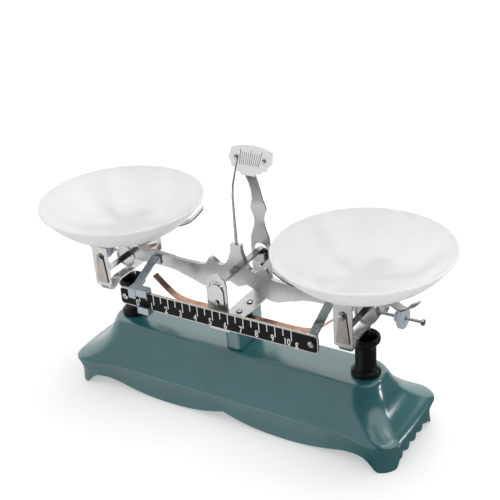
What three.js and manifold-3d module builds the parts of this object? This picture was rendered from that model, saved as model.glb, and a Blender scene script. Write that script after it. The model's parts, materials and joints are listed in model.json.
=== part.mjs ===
// A two-pan table balance: equal-armed beam on a knife edge, pans held upright by a stay in the base.
import * as THREE from 'three';
import { mergeVertices } from 'three/addons/utils/BufferGeometryUtils.js';
import Module from 'manifold-3d';

const wasm = await Module();
wasm.setup();

// Main layout, in millimetres, with the floor at z = 0 and the beam along X
const ARM = 121;                 // beam pivot to each pan pivot
const PIVOT_Z = 131.5;            // edge of the central knife
const END_DROP = 5;            // end knives below the central knife
const STAY_PIVOT_Z = 44;         // stay pivot under the base plateau
const GAP = 0.3;                 // air between pieces that touch
const OVERRUN = 1;               // how far a cutter goes past a face
const END_PIVOT_Z = PIVOT_Z - END_DROP;
const STAY_END_Z = STAY_PIVOT_Z - END_DROP;
const SIDES = [['left', -1], ['right', 1]];
const FACES = [['front', -1], ['rear', 1]];
const FULL = 2 * Math.PI;
const QUARTER = Math.PI / 2;

// Cast base: plateau, ogee sides, fluted ends, four corner feet
const PLATEAU_Z = 61.5;
const PLATEAU_REACH = 13.6;      // plateau beyond the pan pivots
const PLATEAU_HALF_Y = 20;
const LEDGE_Z = 25;
const LEDGE_REACH = 45.5;        // ledge beyond the pan pivots
const LEDGE_HALF_Y = 50;
const LEDGE_RISE = 1;            // the ledge climbs a little in the middle
const BASE_WALL = 3;
const WAIST = 5.2;
const WAIST_FROM_SHARE = 0.66;
const WAIST_TO_SHARE = 0.93;
const FLUTES = 7;
const FLUTE_DEPTH = 2.2;
const LEG_HOLE_R = 7.2;
const CORNER_STEPS = 6;
const SIDE_STEPS = 18;
const END_STEPS = 18;
const baseHalfX = ARM + LEDGE_REACH;
const endFlare = LEDGE_REACH - PLATEAU_REACH;
const sideFlare = LEDGE_HALF_Y - PLATEAU_HALF_Y;

// Each row has shares of: end flare, side flare, corner on the half width, height, waist, flutes
const APRON_SHARES = [
  [0.03, 0.05, 0.35, 0, 0.95, 1],
  [0.02, 0.035, 0.345, 0.24, 0.97, 1],
  [0.01, 0.02, 0.34, 0.52, 1, 1],
  [0.005, 0.006, 0.33, 0.82, 1, 0.8],
  [0, 0, 0.31, 1, 1, 0.4],
];
const COVE_SHARES = [
  [0.1, 0.067, 0.33, 0.08, 0.95, 0.08],
  [0.3, 0.19, 0.4, 0.165, 0.8, 0],
  [0.55, 0.36, 0.53, 0.315, 0.6, 0],
  [0.73, 0.547, 0.68, 0.52, 0.4, 0],
  [0.825, 0.727, 0.79, 0.74, 0.2, 0],
  [0.885, 0.853, 0.85, 0.904, 0.08, 0],
  [0.94, 0.933, 0.88, 0.98, 0, 0],
  [1, 1, 0.89, 1, 0, 0],
];
// Hem of the apron: share of the half length or half width, then share of the ledge height
const HEM_SHARES = [[0, 0.42], [0.09, 0.25], [0.17, 0.145], [0.25, 0.085], [0.34, 0.06], [0.41, 0.06], [0.5, 0.1],
  [0.58, 0.17], [0.66, 0.275], [0.73, 0.39], [0.8, 0.45], [0.85, 0.4], [0.885, 0.22], [0.915, 0.03], [0.94, 0], [1.2, 0]];
const END_HEM_SHARES = [[0, 0.19], [0.5, 0.19], [0.66, 0.12], [0.78, 0], [1.2, 0]];

// Sleeves round the stirrup legs
const SLEEVE_H = 36.8;
const SLEEVE_BORE = 7.6;
const SLEEVE_FLARE = 5.3;        // widest ring over the bore
const SLEEVE_SHARES = [[0.98, 0], [0.98, 0.087], [0.64, 0.125], [0.32, 0.196], [0.28, 0.7], [0.45, 0.8], [0.94, 0.853],
  [1, 0.94], [0.83, 1], [0.53, 1], [0.26, 0.924], [0.02, 0.815]];

// Pillar, limit strip and bearing yoke
const PILLAR_TOP = 91.5;
const PILLAR_HALF_X = 8.4;
const PILLAR_HALF_Y = 20.5;
const PILLAR_SHIFT = 2;
const PILLAR_CORNER = 5;
const STRIP_HALF_Y = 3.6;
const STRIP_T = 1;
const STRIP_RISE = 20.3;
const GROOVE_DEPTH = 5.2;
const STRIP_SHARES = [[0.769, 1], [0.68, 0.54], [0.622, 0.27], [0.565, 0.1], [0.5, 0.02], [0.44, 0]];
const YOKE_T = 1.6;
const YOKE_FRONT = 34.5;         // inner face of the front upright
const YOKE_REAR = 38.5;          // inner face of the rear upright
const YOKE_HALF_X = 9.6;
const YOKE_TOP_RISE = 4.9;       // centre of the front arch over the knife
const ARCH_R = 10;
const WINDOW_R = 6.8;
const WINDOW_RISE = 2.7;
const WINDOW_DROP = 5;           // window foot below the knife
const COVER_T = 0.8;
const COVER_HALF_X = 7.2;
const COVER_DROP = 20;           // cover foot below the knife
const COVER_ARCH_DROP = 2.1;
const COVER_SCREW_DROP = 11.9;
const YOKE_SCREWS = [-4.5, 13.5];
const BLOCK_HALF_X = 5.6;
const BLOCK_T = 4;
const BLOCK_DROP = 7;
const BLOCK_RISE = 1.4;
const GROOVE_SLOPE = Math.tan(Math.PI / 3);
const SCREW_HOLE_R = 1.5;

// Rear upright and dial arm, by height over the knife
const DIAL_ARM_FOOT = 6.5;        // where the rear upright starts to narrow
const DIAL_ARM_TOP = 40;         // from there to where it bends forwards
const DIAL_REACH = 11;           // how far the arm leans forwards
const DIAL_LIFT = 35.7;          // its foremost point over the bend
const ARM_WIDTH = 9.6;
const ARM_WIDTH_SHARES = [[0.075, 1], [0.225, 0.96], [0.35, 0.79], [0.5, 0.56], [0.675, 0.51], [0.8, 0.65],
  [0.9, 0.83], [1, 0.77]];
const ARM_BEND_SHARES = [[0, 0, 0.77], [0.05, 0.17, 0.56], [0.19, 0.4, 0.49], [0.43, 0.64, 0.5], [0.74, 0.85, 0.54],
  [1, 1, 0.59], [0.967, 1.13, 0.59], [0.8, 1.26, 0.56]];
const DIAL_T = 1.6;
const DIAL_SEAT = 3.4;           // dial's foot in front of the arm
const DIAL_DROP = 1;
const DIAL_SHIFT = 1.5;
const DIAL_TILT = 0.46;
const DIAL_HALF_X = 21.6;
const DIAL_H = 26;
const DIAL_SHARES = [[0.3, 0.99], [0.6, 0.95], [0.94, 0.86], [1, 0.5], [0.83, 0.33], [0.79, 0.22], [0.61, 0.2],
  [0.57, 0.1], [0.35, 0.08], [0.31, 0]];
const DIAL_SCREW_SHARES = [0.65, 0.56];

// Beam: crest, humps and arms; each point has shares of the arm and of the beam's reach over and under the end knives
const BEAM_T = 4.4;
const CREST_RISE = 32;
const BELLY_DROP = 16.2;
const BEAM_TOP_SHARES = [[0.043, 1], [0.046, 0.784], [0.059, 0.653], [0.074, 0.5], [0.099, 0.347], [0.127, 0.278],
  [0.154, 0.278], [0.186, 0.359], [0.219, 0.441], [0.244, 0.391], [0.264, 0.25], [0.293, 0.169], [0.364, 0.142],
  [0.526, 0.14], [0.57, 0.165], [0.752, 0.219], [0.9, 0.235], [0.985, 0.14]];
const BEAM_BOTTOM_SHARES = [[0.985, 0.37], [0.9, 0.383], [0.719, 0.377], [0.612, 0.407], [0.529, 0.488],
  [0.484, 0.617], [0.413, 0.747], [0.347, 0.926], [0.303, 1], [0.256, 0.957], [0.198, 0.809], [0.132, 0.512],
  [0.074, 0.34], [0.041, 0.444], [0, 0.574]];
const END_R = 10.6;              // round ends of the beam
const END_SHIFT = 2;
const END_RING_DROP = 5.3;
const END_RIM = 1.9;
const END_RIM_T = 0.8;
const KNIFE_HALF = 3;
const KNIFE_H = 5.2;
const KNIFE_SHY = 0.2;
const END_KNIFE_HALF = 2.8;
const END_KNIFE_H = 4.8;
const KNIFE_GROW = 1.6;
const POINTER_RISE = 77;
const POINTER_LEAN = 14;
const POINTER_R = 1.25;
const POINTER_SHARES = [[0, 0, 1], [0, 0.15, 0.88], [0, 0.4, 0.76], [0.014, 0.58, 0.68], [0.14, 0.71, 0.6],
  [0.54, 0.86, 0.52], [1, 1, 0.44]];

// Scale bar with its struts and rider
const BAR_SETBACK = 21;          // bar ends short of the pan pivots
const BAR_Y = -42.2;
const BAR_T = 2;
const BAR_Z = 107.1;
const BAR_HALF_Z = 8.5;
const BAR_CORNER = 3.4;
const BAR_SCREW_INSET = 6;
const ZERO_INSET = 21.4;
const STRUT_W = 7.8;
const STRUT_T = 1.4;
const STRUT_INSET = 4.4;         // left strut's outer edge from the bar screw
const STRUT_SEAT = 8;            // length bent flat on the beam
const STRUT_SEAT_DROP = 1.2;     // its top below the beam's pivot
const STRUT_FOOT = 7;
const TAB_RISE = 6;
const STRUT_BEND_SHARES = [[0, 0.76], [0.04, 0.97]];
const HOOK_DEPTH = 8.1;
const RIDER_W = 12;
const RIDER_SHIFT = 0.9;
const RIDER_BACK = 1.6;
const RIDER_FRONT = 3.6;
const RIDER_FOOT = 3.2;
const RIDER_LIP = 3.4;
const PLAY = 0.5;

// Balance screws and nuts at the beam ends
const ROD_R = 1.4;
const ROD_DROP = 2.5;            // rods below the end knives
const ROD_LENGTH = { left: 31.6, right: 39.6 };
const NUT_PLACE = { left: 12.1, right: 21.1 };
const CAP_R = 2.9;
const CAP_L = 2.4;
const CAP_EDGE = 0.5;
const NUT_R = 9.4;
const NUT_L = 5;
const HUB_R = 4.6;
const HUB_L = 4;
const KNURLS = 18;
const KNURL_DEPTH = 0.55;

// Stirrups that carry the pans, by height over the end knives
const PLATE_HALF_X = 8.4;
const PLATE_Y = 38.4;            // inner faces of the front and rear plates
const PLATE_T = 1.2;
const PLATE_DROP = 16.9;
const PLATE_CORNER = 2.6;
const CROWN_RISE = 22.9;
const CROWN_CORNER = 3;
const FLOOR_DROP = 17.9;
const CURL_DROP = 5;
const FLOOR_SHARES = [[1.016, -0.16], [0.953, 0.6], [0.849, 1], [0.729, 0.8], [0.609, 0.24], [0.495, 0], [0, 0]];
const LEG_HALF_X = 4.75;
const LEG_FOOT_DROP = 4.5;       // leg foot below the stay's end pivot
const PIN_R = 1.6;
const PIN_END = 3.8;
const SPIDER_ANGLES = [32, 148, 212, 328];
const SPIDER_HALF_W = 4;
const SPIDER_SETBACK = 2.4;      // arms end short of the pan's rim
const SPIDER_RISE_SHARE = 0.524; // of the pan's depth
const SPIDER_SHARES = [[0.685, 0], [0.795, 0.12], [0.904, 0.5], [1, 1]];
const END_COVER_SHARES = [[-0.72, 0.1], [0.72, 0.1], [0.38, 0.786], [0, 0.825], [-0.38, 0.786]];
const END_SCREW_RISE = 11.5;
const END_BLOCK_DROP = 1.5;
const END_BLOCK_RISE = 6;

// Pans, stay and its bracket
const PAN_R = 75.4;
const PAN_DEPTH = 29.6;
const PAN_WALL = 1.8;
const PAN_LIP = 2.2;
const PAN_SHARES = [[0.49, 0], [0.545, 0.03], [0.663, 0.155], [0.782, 0.358], [0.889, 0.608], [0.955, 0.824],
  [0.985, 0.945]];
const STAY_T = 1.5;
const STAY_Y = 1;
const STAY_HALF_Z = 4;
const STAY_OVER = 6;
const STAY_TAPER = 11;
const STAY_MIDDLE = 14;
const STAY_SWELL = 1;
const HOLE_PLAY = 0.3;
const BRACKET_HALF_X = 5;
const BRACKET_T = 1.4;
const BRACKET_CLEAR = 0.8;       // between the bracket and the stay
const BRACKET_FOOT_L = 9;

// Finishes: colour, roughness and metalness
const finish = (color, roughness, metalness) => new THREE.MeshStandardMaterial({ color, roughness, metalness });
const ENAMEL = finish(0x4b7477, 0.3, 0);
const CHROME = finish(0xc4c3c0, 0.2, 1);
const STEEL = finish(0xb0b0af, 0.3, 1);
const KNIFE_STEEL = finish(0x5c646b, 0.3, 1);
const ZINC = finish(0xa7b0b8, 0.4, 1);
const COPPER = finish(0xb87f6c, 0.3, 1);
const BLACK_PLASTIC = finish(0x1a1a1b, 0.4, 0);
const BLACK_LACQUER = finish(0x15161a, 0.3, 0);
const MILKY_PLASTIC = finish(0xe6e6e6, 0.4, 0);
const WHITE_LACQUER = finish(0xe6e6e6, 0.3, 0);

// Turns a geometry into a merged one with plain positions
function solid(geometry) {
  geometry.deleteAttribute('normal');
  geometry.deleteAttribute('uv');
  return mergeVertices(geometry, 1e-4);
}

// Joins and cuts closed geometries
function toManifold(geometry) {
  const merged = solid(geometry);
  const mesh = new wasm.Mesh({
    numProp: 3,
    vertProperties: new Float32Array(merged.attributes.position.array),
    triVerts: new Uint32Array(merged.index.array),
  });
  return new wasm.Manifold(mesh);
}

function fromManifold(body) {
  const mesh = body.getMesh();
  const geometry = new THREE.BufferGeometry();
  geometry.setAttribute('position', new THREE.BufferAttribute(new Float32Array(mesh.vertProperties), 3));
  geometry.setIndex(new THREE.BufferAttribute(new Uint32Array(mesh.triVerts), 1));
  return geometry;
}

function join(first, ...rest) {
  let body = toManifold(first);
  for (const next of rest) body = body.add(toManifold(next));
  return fromManifold(body);
}

function cut(first, ...rest) {
  let body = toManifold(first);
  for (const next of rest) body = body.subtract(toManifold(next));
  return fromManifold(body);
}

function keep(first, second) {
  return fromManifold(toManifold(first).intersect(toManifold(second)));
}

// Plates cut from outlines: facing Y, facing X, or lying flat
function outline(points, holes = []) {
  const shape = new THREE.Shape(points.map(([u, v]) => new THREE.Vector2(u, v)));
  for (const hole of holes) shape.holes.push(new THREE.Path(hole.map(([u, v]) => new THREE.Vector2(u, v))));
  return shape;
}

function extrude(shape, depth) {
  return new THREE.ExtrudeGeometry(shape, { depth, bevelEnabled: false, steps: 1 });
}

function plateXZ(points, yFront, depth, holes) {
  return extrude(outline(points, holes), depth).rotateX(QUARTER).translate(0, yFront + depth, 0);
}

function plateYZ(points, xLeft, depth, holes) {
  const turn = new THREE.Matrix4().makeBasis(
    new THREE.Vector3(0, 1, 0), new THREE.Vector3(0, 0, 1), new THREE.Vector3(1, 0, 0));
  return extrude(outline(points, holes), depth).applyMatrix4(turn).translate(xLeft, 0, 0);
}

function plateXY(points, zLow, depth, holes) {
  return extrude(outline(points, holes), depth).translate(0, 0, zLow);
}

function circle(u, v, r, count = 16) {
  const points = [];
  for (let i = 0; i < count; i += 1) {
    const angle = FULL * (i + 0.5) / count;
    points.push([u + r * Math.cos(angle), v + r * Math.sin(angle)]);
  }
  return points;
}

function box(xLow, xHigh, yLow, yHigh, zLow, zHigh) {
  return new THREE.BoxGeometry(xHigh - xLow, yHigh - yLow, zHigh - zLow)
    .translate((xLow + xHigh) / 2, (yLow + yHigh) / 2, (zLow + zHigh) / 2);
}

// A thick line: an open path of points widened by t on both sides
function ribbon(line, t) {
  const high = [];
  const low = [];
  line.forEach(([u, v], i) => {
    const before = line[Math.max(0, i - 1)];
    const after = line[Math.min(line.length - 1, i + 1)];
    const length = Math.hypot(after[0] - before[0], after[1] - before[1]);
    const nu = -(after[1] - before[1]) / length;
    const nv = (after[0] - before[0]) / length;
    high.push([u + nu * t, v + nv * t]);
    low.push([u - nu * t, v - nv * t]);
  });
  return low.concat(high.reverse());
}

function mirrorLine(line) {
  const other = line.map(([u, v]) => [-u, v]).reverse();
  return line[line.length - 1][0] === 0 ? line.concat(other.slice(1)) : line.concat(other);
}

// More points on a smooth run through the given ones
function smoothRun(points, perGap) {
  const curve = new THREE.SplineCurve(points.map(([u, v]) => new THREE.Vector2(u, v)));
  return curve.getPoints((points.length - 1) * perGap).map((p) => [p.x, p.y]);
}

// A corner of an outline rounded by an arc of a few points
function arc(u, v, r, from, to, steps) {
  const points = [];
  for (let i = 0; i <= steps; i += 1) {
    const angle = from + (to - from) * i / steps;
    points.push([u + r * Math.cos(angle), v + r * Math.sin(angle)]);
  }
  return points;
}

function roundedRectangle(halfU, halfV, corner, steps = 5) {
  const places = [[halfU - corner, halfV - corner], [corner - halfU, halfV - corner],
    [corner - halfU, corner - halfV], [halfU - corner, corner - halfV]];
  return places.flatMap(([u, v], turn) => arc(u, v, corner, turn * QUARTER, (turn + 1) * QUARTER, steps));
}

function arch(halfU, bottom, centre, steps = 10) {
  return [[halfU, bottom], ...arc(0, centre, halfU, 0, Math.PI, steps), [-halfU, bottom]];
}

// Turned shapes about Z, X or Y
function turned(profile, segments = 24) {
  return new THREE.LatheGeometry(profile.map(([r, z]) => new THREE.Vector2(r, z)), segments).rotateX(QUARTER);
}

function turnedX(profile, x, y, z, direction, segments) {
  return turned(profile, segments).rotateY(direction * QUARTER).translate(x, y, z);
}

function turnedY(profile, x, y, z, direction, segments) {
  return turned(profile, segments).rotateX(-direction * QUARTER).translate(x, y, z);
}

function drillY(x, y, z, reach) {
  return turnedY([[0, -reach], [SCREW_HOLE_R, -reach], [SCREW_HOLE_R, reach], [0, reach]], x, y, z, 1, 12);
}

// A skin through rings of equal point counts, closed at both ends by fans
function loft(rings) {
  const count = rings[0].length;
  const positions = [];
  const index = [];
  for (const ring of rings) for (const p of ring) positions.push(...p);
  for (let r = 0; r + 1 < rings.length; r += 1) {
    for (let i = 0; i < count; i += 1) {
      const a = r * count + i;
      const b = r * count + (i + 1) % count;
      index.push(a, b, b + count, a, b + count, a + count);
    }
  }
  for (const [row, flip] of [[0, true], [rings.length - 1, false]]) {
    const ring = rings[row];
    const middle = [0, 1, 2].map((k) => ring.reduce((sum, p) => sum + p[k], 0) / count);
    const centre = positions.length / 3;
    positions.push(...middle);
    for (let i = 0; i < count; i += 1) {
      const a = row * count + i;
      const b = row * count + (i + 1) % count;
      if (flip) index.push(centre, b, a);
      else index.push(centre, a, b);
    }
  }
  const geometry = new THREE.BufferGeometry();
  geometry.setAttribute('position', new THREE.Float32BufferAttribute(positions, 3));
  geometry.setIndex(index);
  return geometry;
}

const part = new THREE.Group();
part.name = 'laboratory_balance';

function add(name, geometry, material) {
  const mesh = new THREE.Mesh(solid(geometry), material.clone());
  mesh.name = name;
  part.add(mesh);
}

// A height read off a table of distance and height, along a smooth run
function lookUp(table, distance) {
  for (let i = 1; i < table.length; i += 1) {
    if (distance <= table[i][0]) {
      const [d0, h0] = table[i - 1];
      const [d1, h1] = table[i];
      const before = i > 1 ? table[i - 2] : [d0 - (d1 - d0), h0 - (h1 - h0)];
      const after = i + 1 < table.length ? table[i + 1] : [d1 + (d1 - d0), h1];
      const t = (distance - d0) / (d1 - d0);
      const m0 = (h1 - before[1]) / (d1 - before[0]) * (d1 - d0);
      const m1 = (after[1] - h0) / (after[0] - d0) * (d1 - d0);
      const t2 = t * t;
      const t3 = t2 * t;
      return (2 * t3 - 3 * t2 + 1) * h0 + (t3 - 2 * t2 + t) * m0 + (3 * t2 - 2 * t3) * h1 + (t3 - t2) * m1;
    }
  }
  return table[table.length - 1][1];
}

// One ring of the base: a rounded rectangle, waisted along its sides, fluted at its ends
function baseRing(row, inset) {
  const a = baseHalfX - row.endIn - inset;
  const b = LEDGE_HALF_Y - row.sideIn - inset;
  const r = Math.min(Math.max(row.corner - inset, BASE_WALL / 2), b - OVERRUN / 2);
  const ring = [];
  const place = (x, y) => {
    const along = Math.min(1, Math.max(0, (Math.abs(x) / baseHalfX - WAIST_FROM_SHARE) / (WAIST_TO_SHARE - WAIST_FROM_SHARE)));
    const middle = 1 - along * along * (3 - 2 * along);
    const pinch = WAIST * row.waist * middle;
    const endShare = Math.max(0, (Math.abs(x) - (a - r)) / r);
    const wave = FLUTE_DEPTH * row.flute * endShare * (1 - Math.abs(Math.cos(FLUTES * Math.PI * y / (2 * b))));
    const hem = LEDGE_Z * Math.max(0, lookUp(HEM_SHARES, Math.abs(x) / baseHalfX));
    const endHem = LEDGE_Z * Math.max(0, lookUp(END_HEM_SHARES, Math.abs(y) / LEDGE_HALF_Y));
    const lift = Math.abs(x) > a - r ? Math.max(endHem, hem * (1 - endShare)) : hem;
    const ledge = LEDGE_RISE * middle * Math.min(1, row.z / LEDGE_Z, (PLATEAU_Z - row.z) / (PLATEAU_Z - LEDGE_Z));
    const floor = lift * Math.max(0, 1 - row.z / LEDGE_Z);
    const drop = inset * Math.min(1, row.z / PLATEAU_Z) ** 2;
    ring.push([x - Math.sign(x) * wave, y - pinch * y / b, row.z + floor + ledge - drop]);
  };
  const corners = [[a - r, b - r, 0], [-(a - r), b - r, 1], [-(a - r), -(b - r), 2], [a - r, -(b - r), 3]];
  for (const [cx, cy, turn] of corners) {
    for (let i = 0; i < CORNER_STEPS; i += 1) {
      const angle = (turn + i / CORNER_STEPS) * QUARTER;
      place(cx + r * Math.cos(angle), cy + r * Math.sin(angle));
    }
    const next = corners[(turn + 1) % 4];
    const angle = (turn + 1) * QUARTER;
    const from = [cx + r * Math.cos(angle), cy + r * Math.sin(angle)];
    const to = [next[0] + r * Math.cos(angle), next[1] + r * Math.sin(angle)];
    const steps = turn % 2 === 0 ? SIDE_STEPS : END_STEPS;
    for (let i = 0; i < steps; i += 1) {
      const share = i / steps;
      place(from[0] + (to[0] - from[0]) * share, from[1] + (to[1] - from[1]) * share);
    }
  }
  return ring;
}

function baseRows() {
  const row = ([end, side, corner, height, waist, flute], low, high) => ({
    endIn: end * endFlare,
    sideIn: side * sideFlare,
    corner: corner * (LEDGE_HALF_Y - side * sideFlare),
    z: low + (high - low) * height,
    waist,
    flute,
  });
  return APRON_SHARES.map((shares) => row(shares, 0, LEDGE_Z))
    .concat(COVE_SHARES.map((shares) => row(shares, LEDGE_Z, PLATEAU_Z)));
}

function baseCasing() {
  const rows = baseRows();
  const outer = rows.map((row) => baseRing(row, 0));
  const inner = rows.filter((row, i) => i % 2 === 0 || i === rows.length - 6).map((row) => baseRing(row, BASE_WALL));
  const shell = loft(inner.reverse().concat(outer));
  const holes = SIDES.map(([, side]) => turned([[0, PLATEAU_Z - BASE_WALL - OVERRUN], [LEG_HOLE_R, PLATEAU_Z - BASE_WALL - OVERRUN],
    [LEG_HOLE_R, PLATEAU_Z + OVERRUN], [0, PLATEAU_Z + OVERRUN]], 20).translate(side * ARM, 0, 0));
  return cut(shell, ...holes);
}

add('base_casing', baseCasing(), ENAMEL);

// Sleeves stand on the plateau over the leg holes
const sleeveOuter = SLEEVE_SHARES.map(([flare, height]) => [SLEEVE_BORE + SLEEVE_FLARE * flare, SLEEVE_H * height]);
const sleeveProfile = [[SLEEVE_BORE, 0], ...sleeveOuter, [SLEEVE_BORE, 0]];
for (const [word, side] of SIDES) {
  add(`${word}_sleeve`, turned(sleeveProfile, 20).translate(side * ARM, 0, PLATEAU_Z + GAP), BLACK_PLASTIC);
}

// Pillar with a groove for the limit strip
const pillarLow = PLATEAU_Z + GAP;
const pillarOutline = roundedRectangle(PILLAR_HALF_X, PILLAR_HALF_Y, PILLAR_CORNER).map(([x, y]) => [x, y + PILLAR_SHIFT]);
const pillarBlock = plateXY(pillarOutline, pillarLow, PILLAR_TOP - pillarLow);
const grooveHalf = STRIP_HALF_Y + GAP;
add('pillar', cut(pillarBlock, box(-PILLAR_HALF_X - OVERRUN, PILLAR_HALF_X + OVERRUN, -grooveHalf, grooveHalf,
  PILLAR_TOP - GROOVE_DEPTH, PILLAR_TOP + OVERRUN)), ENAMEL);
const stripZ = PILLAR_TOP - GROOVE_DEPTH + GAP + STRIP_T / 2;
const stripLine = mirrorLine(STRIP_SHARES.map(([along, rise]) => [-ARM * along, stripZ + STRIP_RISE * rise]));
add('limit_strip', plateXZ(ribbon(stripLine, STRIP_T / 2), -STRIP_HALF_Y, 2 * STRIP_HALF_Y), COPPER);

// Yoke: floor plate, arched front upright, rear upright that goes on up as the dial arm
const yokeFloor = PILLAR_TOP + GAP;
const coverScrewZ = PIVOT_Z - COVER_SCREW_DROP;
const windowHole = arch(WINDOW_R, PIVOT_Z - WINDOW_DROP, PIVOT_Z + WINDOW_RISE, 10);
const screwHole = circle(0, coverScrewZ, SCREW_HOLE_R, 12);
const frontUpright = plateXZ(arch(ARCH_R, yokeFloor, PIVOT_Z + YOKE_TOP_RISE, 12), -YOKE_FRONT - YOKE_T, YOKE_T,
  [windowHole, screwHole]);
const floorPlate = plateXY([[-YOKE_HALF_X, -YOKE_FRONT - YOKE_T], [YOKE_HALF_X, -YOKE_FRONT - YOKE_T],
  [YOKE_HALF_X, YOKE_REAR + YOKE_T], [-YOKE_HALF_X, YOKE_REAR + YOKE_T]], yokeFloor, YOKE_T,
YOKE_SCREWS.map((y) => circle(0, y, SCREW_HOLE_R, 12)));
const armEdge = ARM_WIDTH_SHARES.map(([height, width]) => [ARM_WIDTH * width, PIVOT_Z + DIAL_ARM_FOOT + DIAL_ARM_TOP * height]);
const rearEdge = [[ARCH_R, yokeFloor], [ARCH_R, PIVOT_Z + DIAL_ARM_FOOT], ...smoothRun(armEdge, 2)];
const rearUpright = plateXZ(rearEdge.concat(rearEdge.map(([w, z]) => [-w, z]).reverse()), YOKE_REAR, YOKE_T,
  [windowHole, screwHole]);

// The arm above its bend leans forward, and its end lies flat behind the dial
const bendZ = PIVOT_Z + DIAL_ARM_FOOT + DIAL_ARM_TOP;
function dialArm() {
  const line = [[YOKE_REAR, bendZ - YOKE_T, ARM_WIDTH * ARM_BEND_SHARES[0][2]]]
    .concat(ARM_BEND_SHARES.map(([reach, lift, width]) => [YOKE_REAR - DIAL_REACH * reach, bendZ + DIAL_LIFT * lift, ARM_WIDTH * width]));
  const rings = line.map(([y, z, w], i) => {
    const before = line[Math.max(0, i - 1)];
    const after = line[Math.min(line.length - 1, i + 1)];
    const length = Math.hypot(after[0] - before[0], after[1] - before[1]);
    const backY = y + YOKE_T * (after[1] - before[1]) / length;
    const backZ = z - YOKE_T * (after[0] - before[0]) / length;
    return [[-w, y, z], [w, y, z], [w, backY, backZ], [-w, backY, backZ]];
  });
  return loft(rings);
}
add('bearing_yoke', join(frontUpright, floorPlate, rearUpright, dialArm()), CHROME);

// Screws: a domed head with a shank behind it
const HEAD_STEP_SHARES = [0.55, 0.72];
function screw(headR, headH, shankR, shankL) {
  return [[0, -shankL], [shankR, -shankL], [shankR, 0], [headR, 0], [headR, headH * HEAD_STEP_SHARES[0]],
    [headR * HEAD_STEP_SHARES[1], headH], [0, headH]];
}
const COVER_SCREW = { head: 2.6, height: 1.3, shank: 1.2, length: 6.4 };
const YOKE_SCREW = { head: 3, height: 1.6, shank: 1.2, length: 1.2 };
const DIAL_SCREW = { head: 1.9, height: 1, shank: 0.8, length: 1.4 };
const BAR_SCREW = { head: 3, height: 1.5, shank: 1.2, length: 4.4 };
const END_SCREW = { head: 2.9, height: 1.4, shank: 1.2, length: 4.6 };
const screwProfile = (s) => screw(s.head, s.height, s.shank, s.length);

for (const [word, face] of FACES) {
  const inner = face < 0 ? YOKE_FRONT : YOKE_REAR;
  const outer = inner + YOKE_T;
  const coverFar = face * (outer + GAP + COVER_T);
  const coverNear = face * (outer + GAP);
  add(`${word}_bearing_cover`, plateXZ(arch(COVER_HALF_X, PIVOT_Z - COVER_DROP, PIVOT_Z - COVER_ARCH_DROP, 10),
    Math.min(coverFar, coverNear), COVER_T, [screwHole]), CHROME);
  const head = face * (outer + GAP + COVER_T + GAP);
  add(`${word}_cover_screw`, turnedY(screwProfile(COVER_SCREW), 0, head, coverScrewZ, face, 10), STEEL);
  const blockFar = face * (inner - GAP);
  const blockNear = face * (inner - GAP - BLOCK_T);
  const blockFoot = PIVOT_Z - BLOCK_DROP;
  const grooveTop = PIVOT_Z + BLOCK_RISE;
  const grooveFoot = PIVOT_Z - GAP;
  const grooveWide = (grooveTop - grooveFoot) * GROOVE_SLOPE;
  add(`${word}_bearing`, plateXZ([[-BLOCK_HALF_X, blockFoot], [BLOCK_HALF_X, blockFoot], [BLOCK_HALF_X, grooveTop],
    [grooveWide, grooveTop], [0, grooveFoot], [-grooveWide, grooveTop], [-BLOCK_HALF_X, grooveTop]],
  Math.min(blockFar, blockNear), BLOCK_T), KNIFE_STEEL);
}
YOKE_SCREWS.forEach((y, i) => {
  add(`yoke_screw_${i + 1}`, turned(screwProfile(YOKE_SCREW), 10).translate(0, y, yokeFloor + YOKE_T + GAP), STEEL);
});

// Dial plate, leaning back on the end of the arm, with two screws
const dialHalf = DIAL_SHARES.map(([along, height]) => [DIAL_HALF_X * along, DIAL_H * height]);
const dialPoints = dialHalf.concat(dialHalf.map(([u, v]) => [-u, v]).reverse(), [[0, DIAL_H]]);
const dialScrewX = DIAL_HALF_X * DIAL_SCREW_SHARES[0];
const dialScrewZ = DIAL_H * DIAL_SCREW_SHARES[1];
const dialPlace = [DIAL_SHIFT, YOKE_REAR - DIAL_REACH - DIAL_SEAT, bendZ + DIAL_LIFT - DIAL_DROP];
const dialPlate = plateXZ(dialPoints, -DIAL_T, DIAL_T,
  SIDES.map(([, side]) => circle(side * dialScrewX, dialScrewZ, DIAL_SCREW.shank + GAP, 10)));
add('dial_plate', dialPlate.rotateX(-DIAL_TILT).translate(...dialPlace), WHITE_LACQUER);
for (const [word, side] of SIDES) {
  const dialScrew = turnedY(screwProfile(DIAL_SCREW), side * dialScrewX, -DIAL_T - GAP, dialScrewZ, -1, 10);
  add(`${word}_dial_screw`, dialScrew.rotateX(-DIAL_TILT).translate(...dialPlace), STEEL);
}

// Beam with its three knives
const knifeTop = PIVOT_Z + KNIFE_H;
const knifeShape = (grow) => [[0, PIVOT_Z - grow * 2], [KNIFE_HALF + grow * KNIFE_GROW, knifeTop + grow],
  [-KNIFE_HALF - grow * KNIFE_GROW, knifeTop + grow]];
const endKnifeFoot = END_PIVOT_Z - END_KNIFE_H;
const endKnifeShape = (x, grow) => [[x - END_KNIFE_HALF - grow * KNIFE_GROW, endKnifeFoot - grow],
  [x + END_KNIFE_HALF + grow * KNIFE_GROW, endKnifeFoot - grow], [x, END_PIVOT_Z + grow * 2]];
const beamTop = BEAM_TOP_SHARES.map(([along, up]) => [ARM * along, END_PIVOT_Z + CREST_RISE * up]);
const beamBottom = BEAM_BOTTOM_SHARES.map(([along, down]) => [ARM * along, END_PIVOT_Z - BELLY_DROP * down]);
const beamRight = smoothRun(beamTop, 2).concat(smoothRun(beamBottom, 2));
const beamOutline = beamRight.slice(0, -1).reverse().concat(beamRight.map(([x, z]) => [-x, z]));
const endX = ARM + END_SHIFT;
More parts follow.
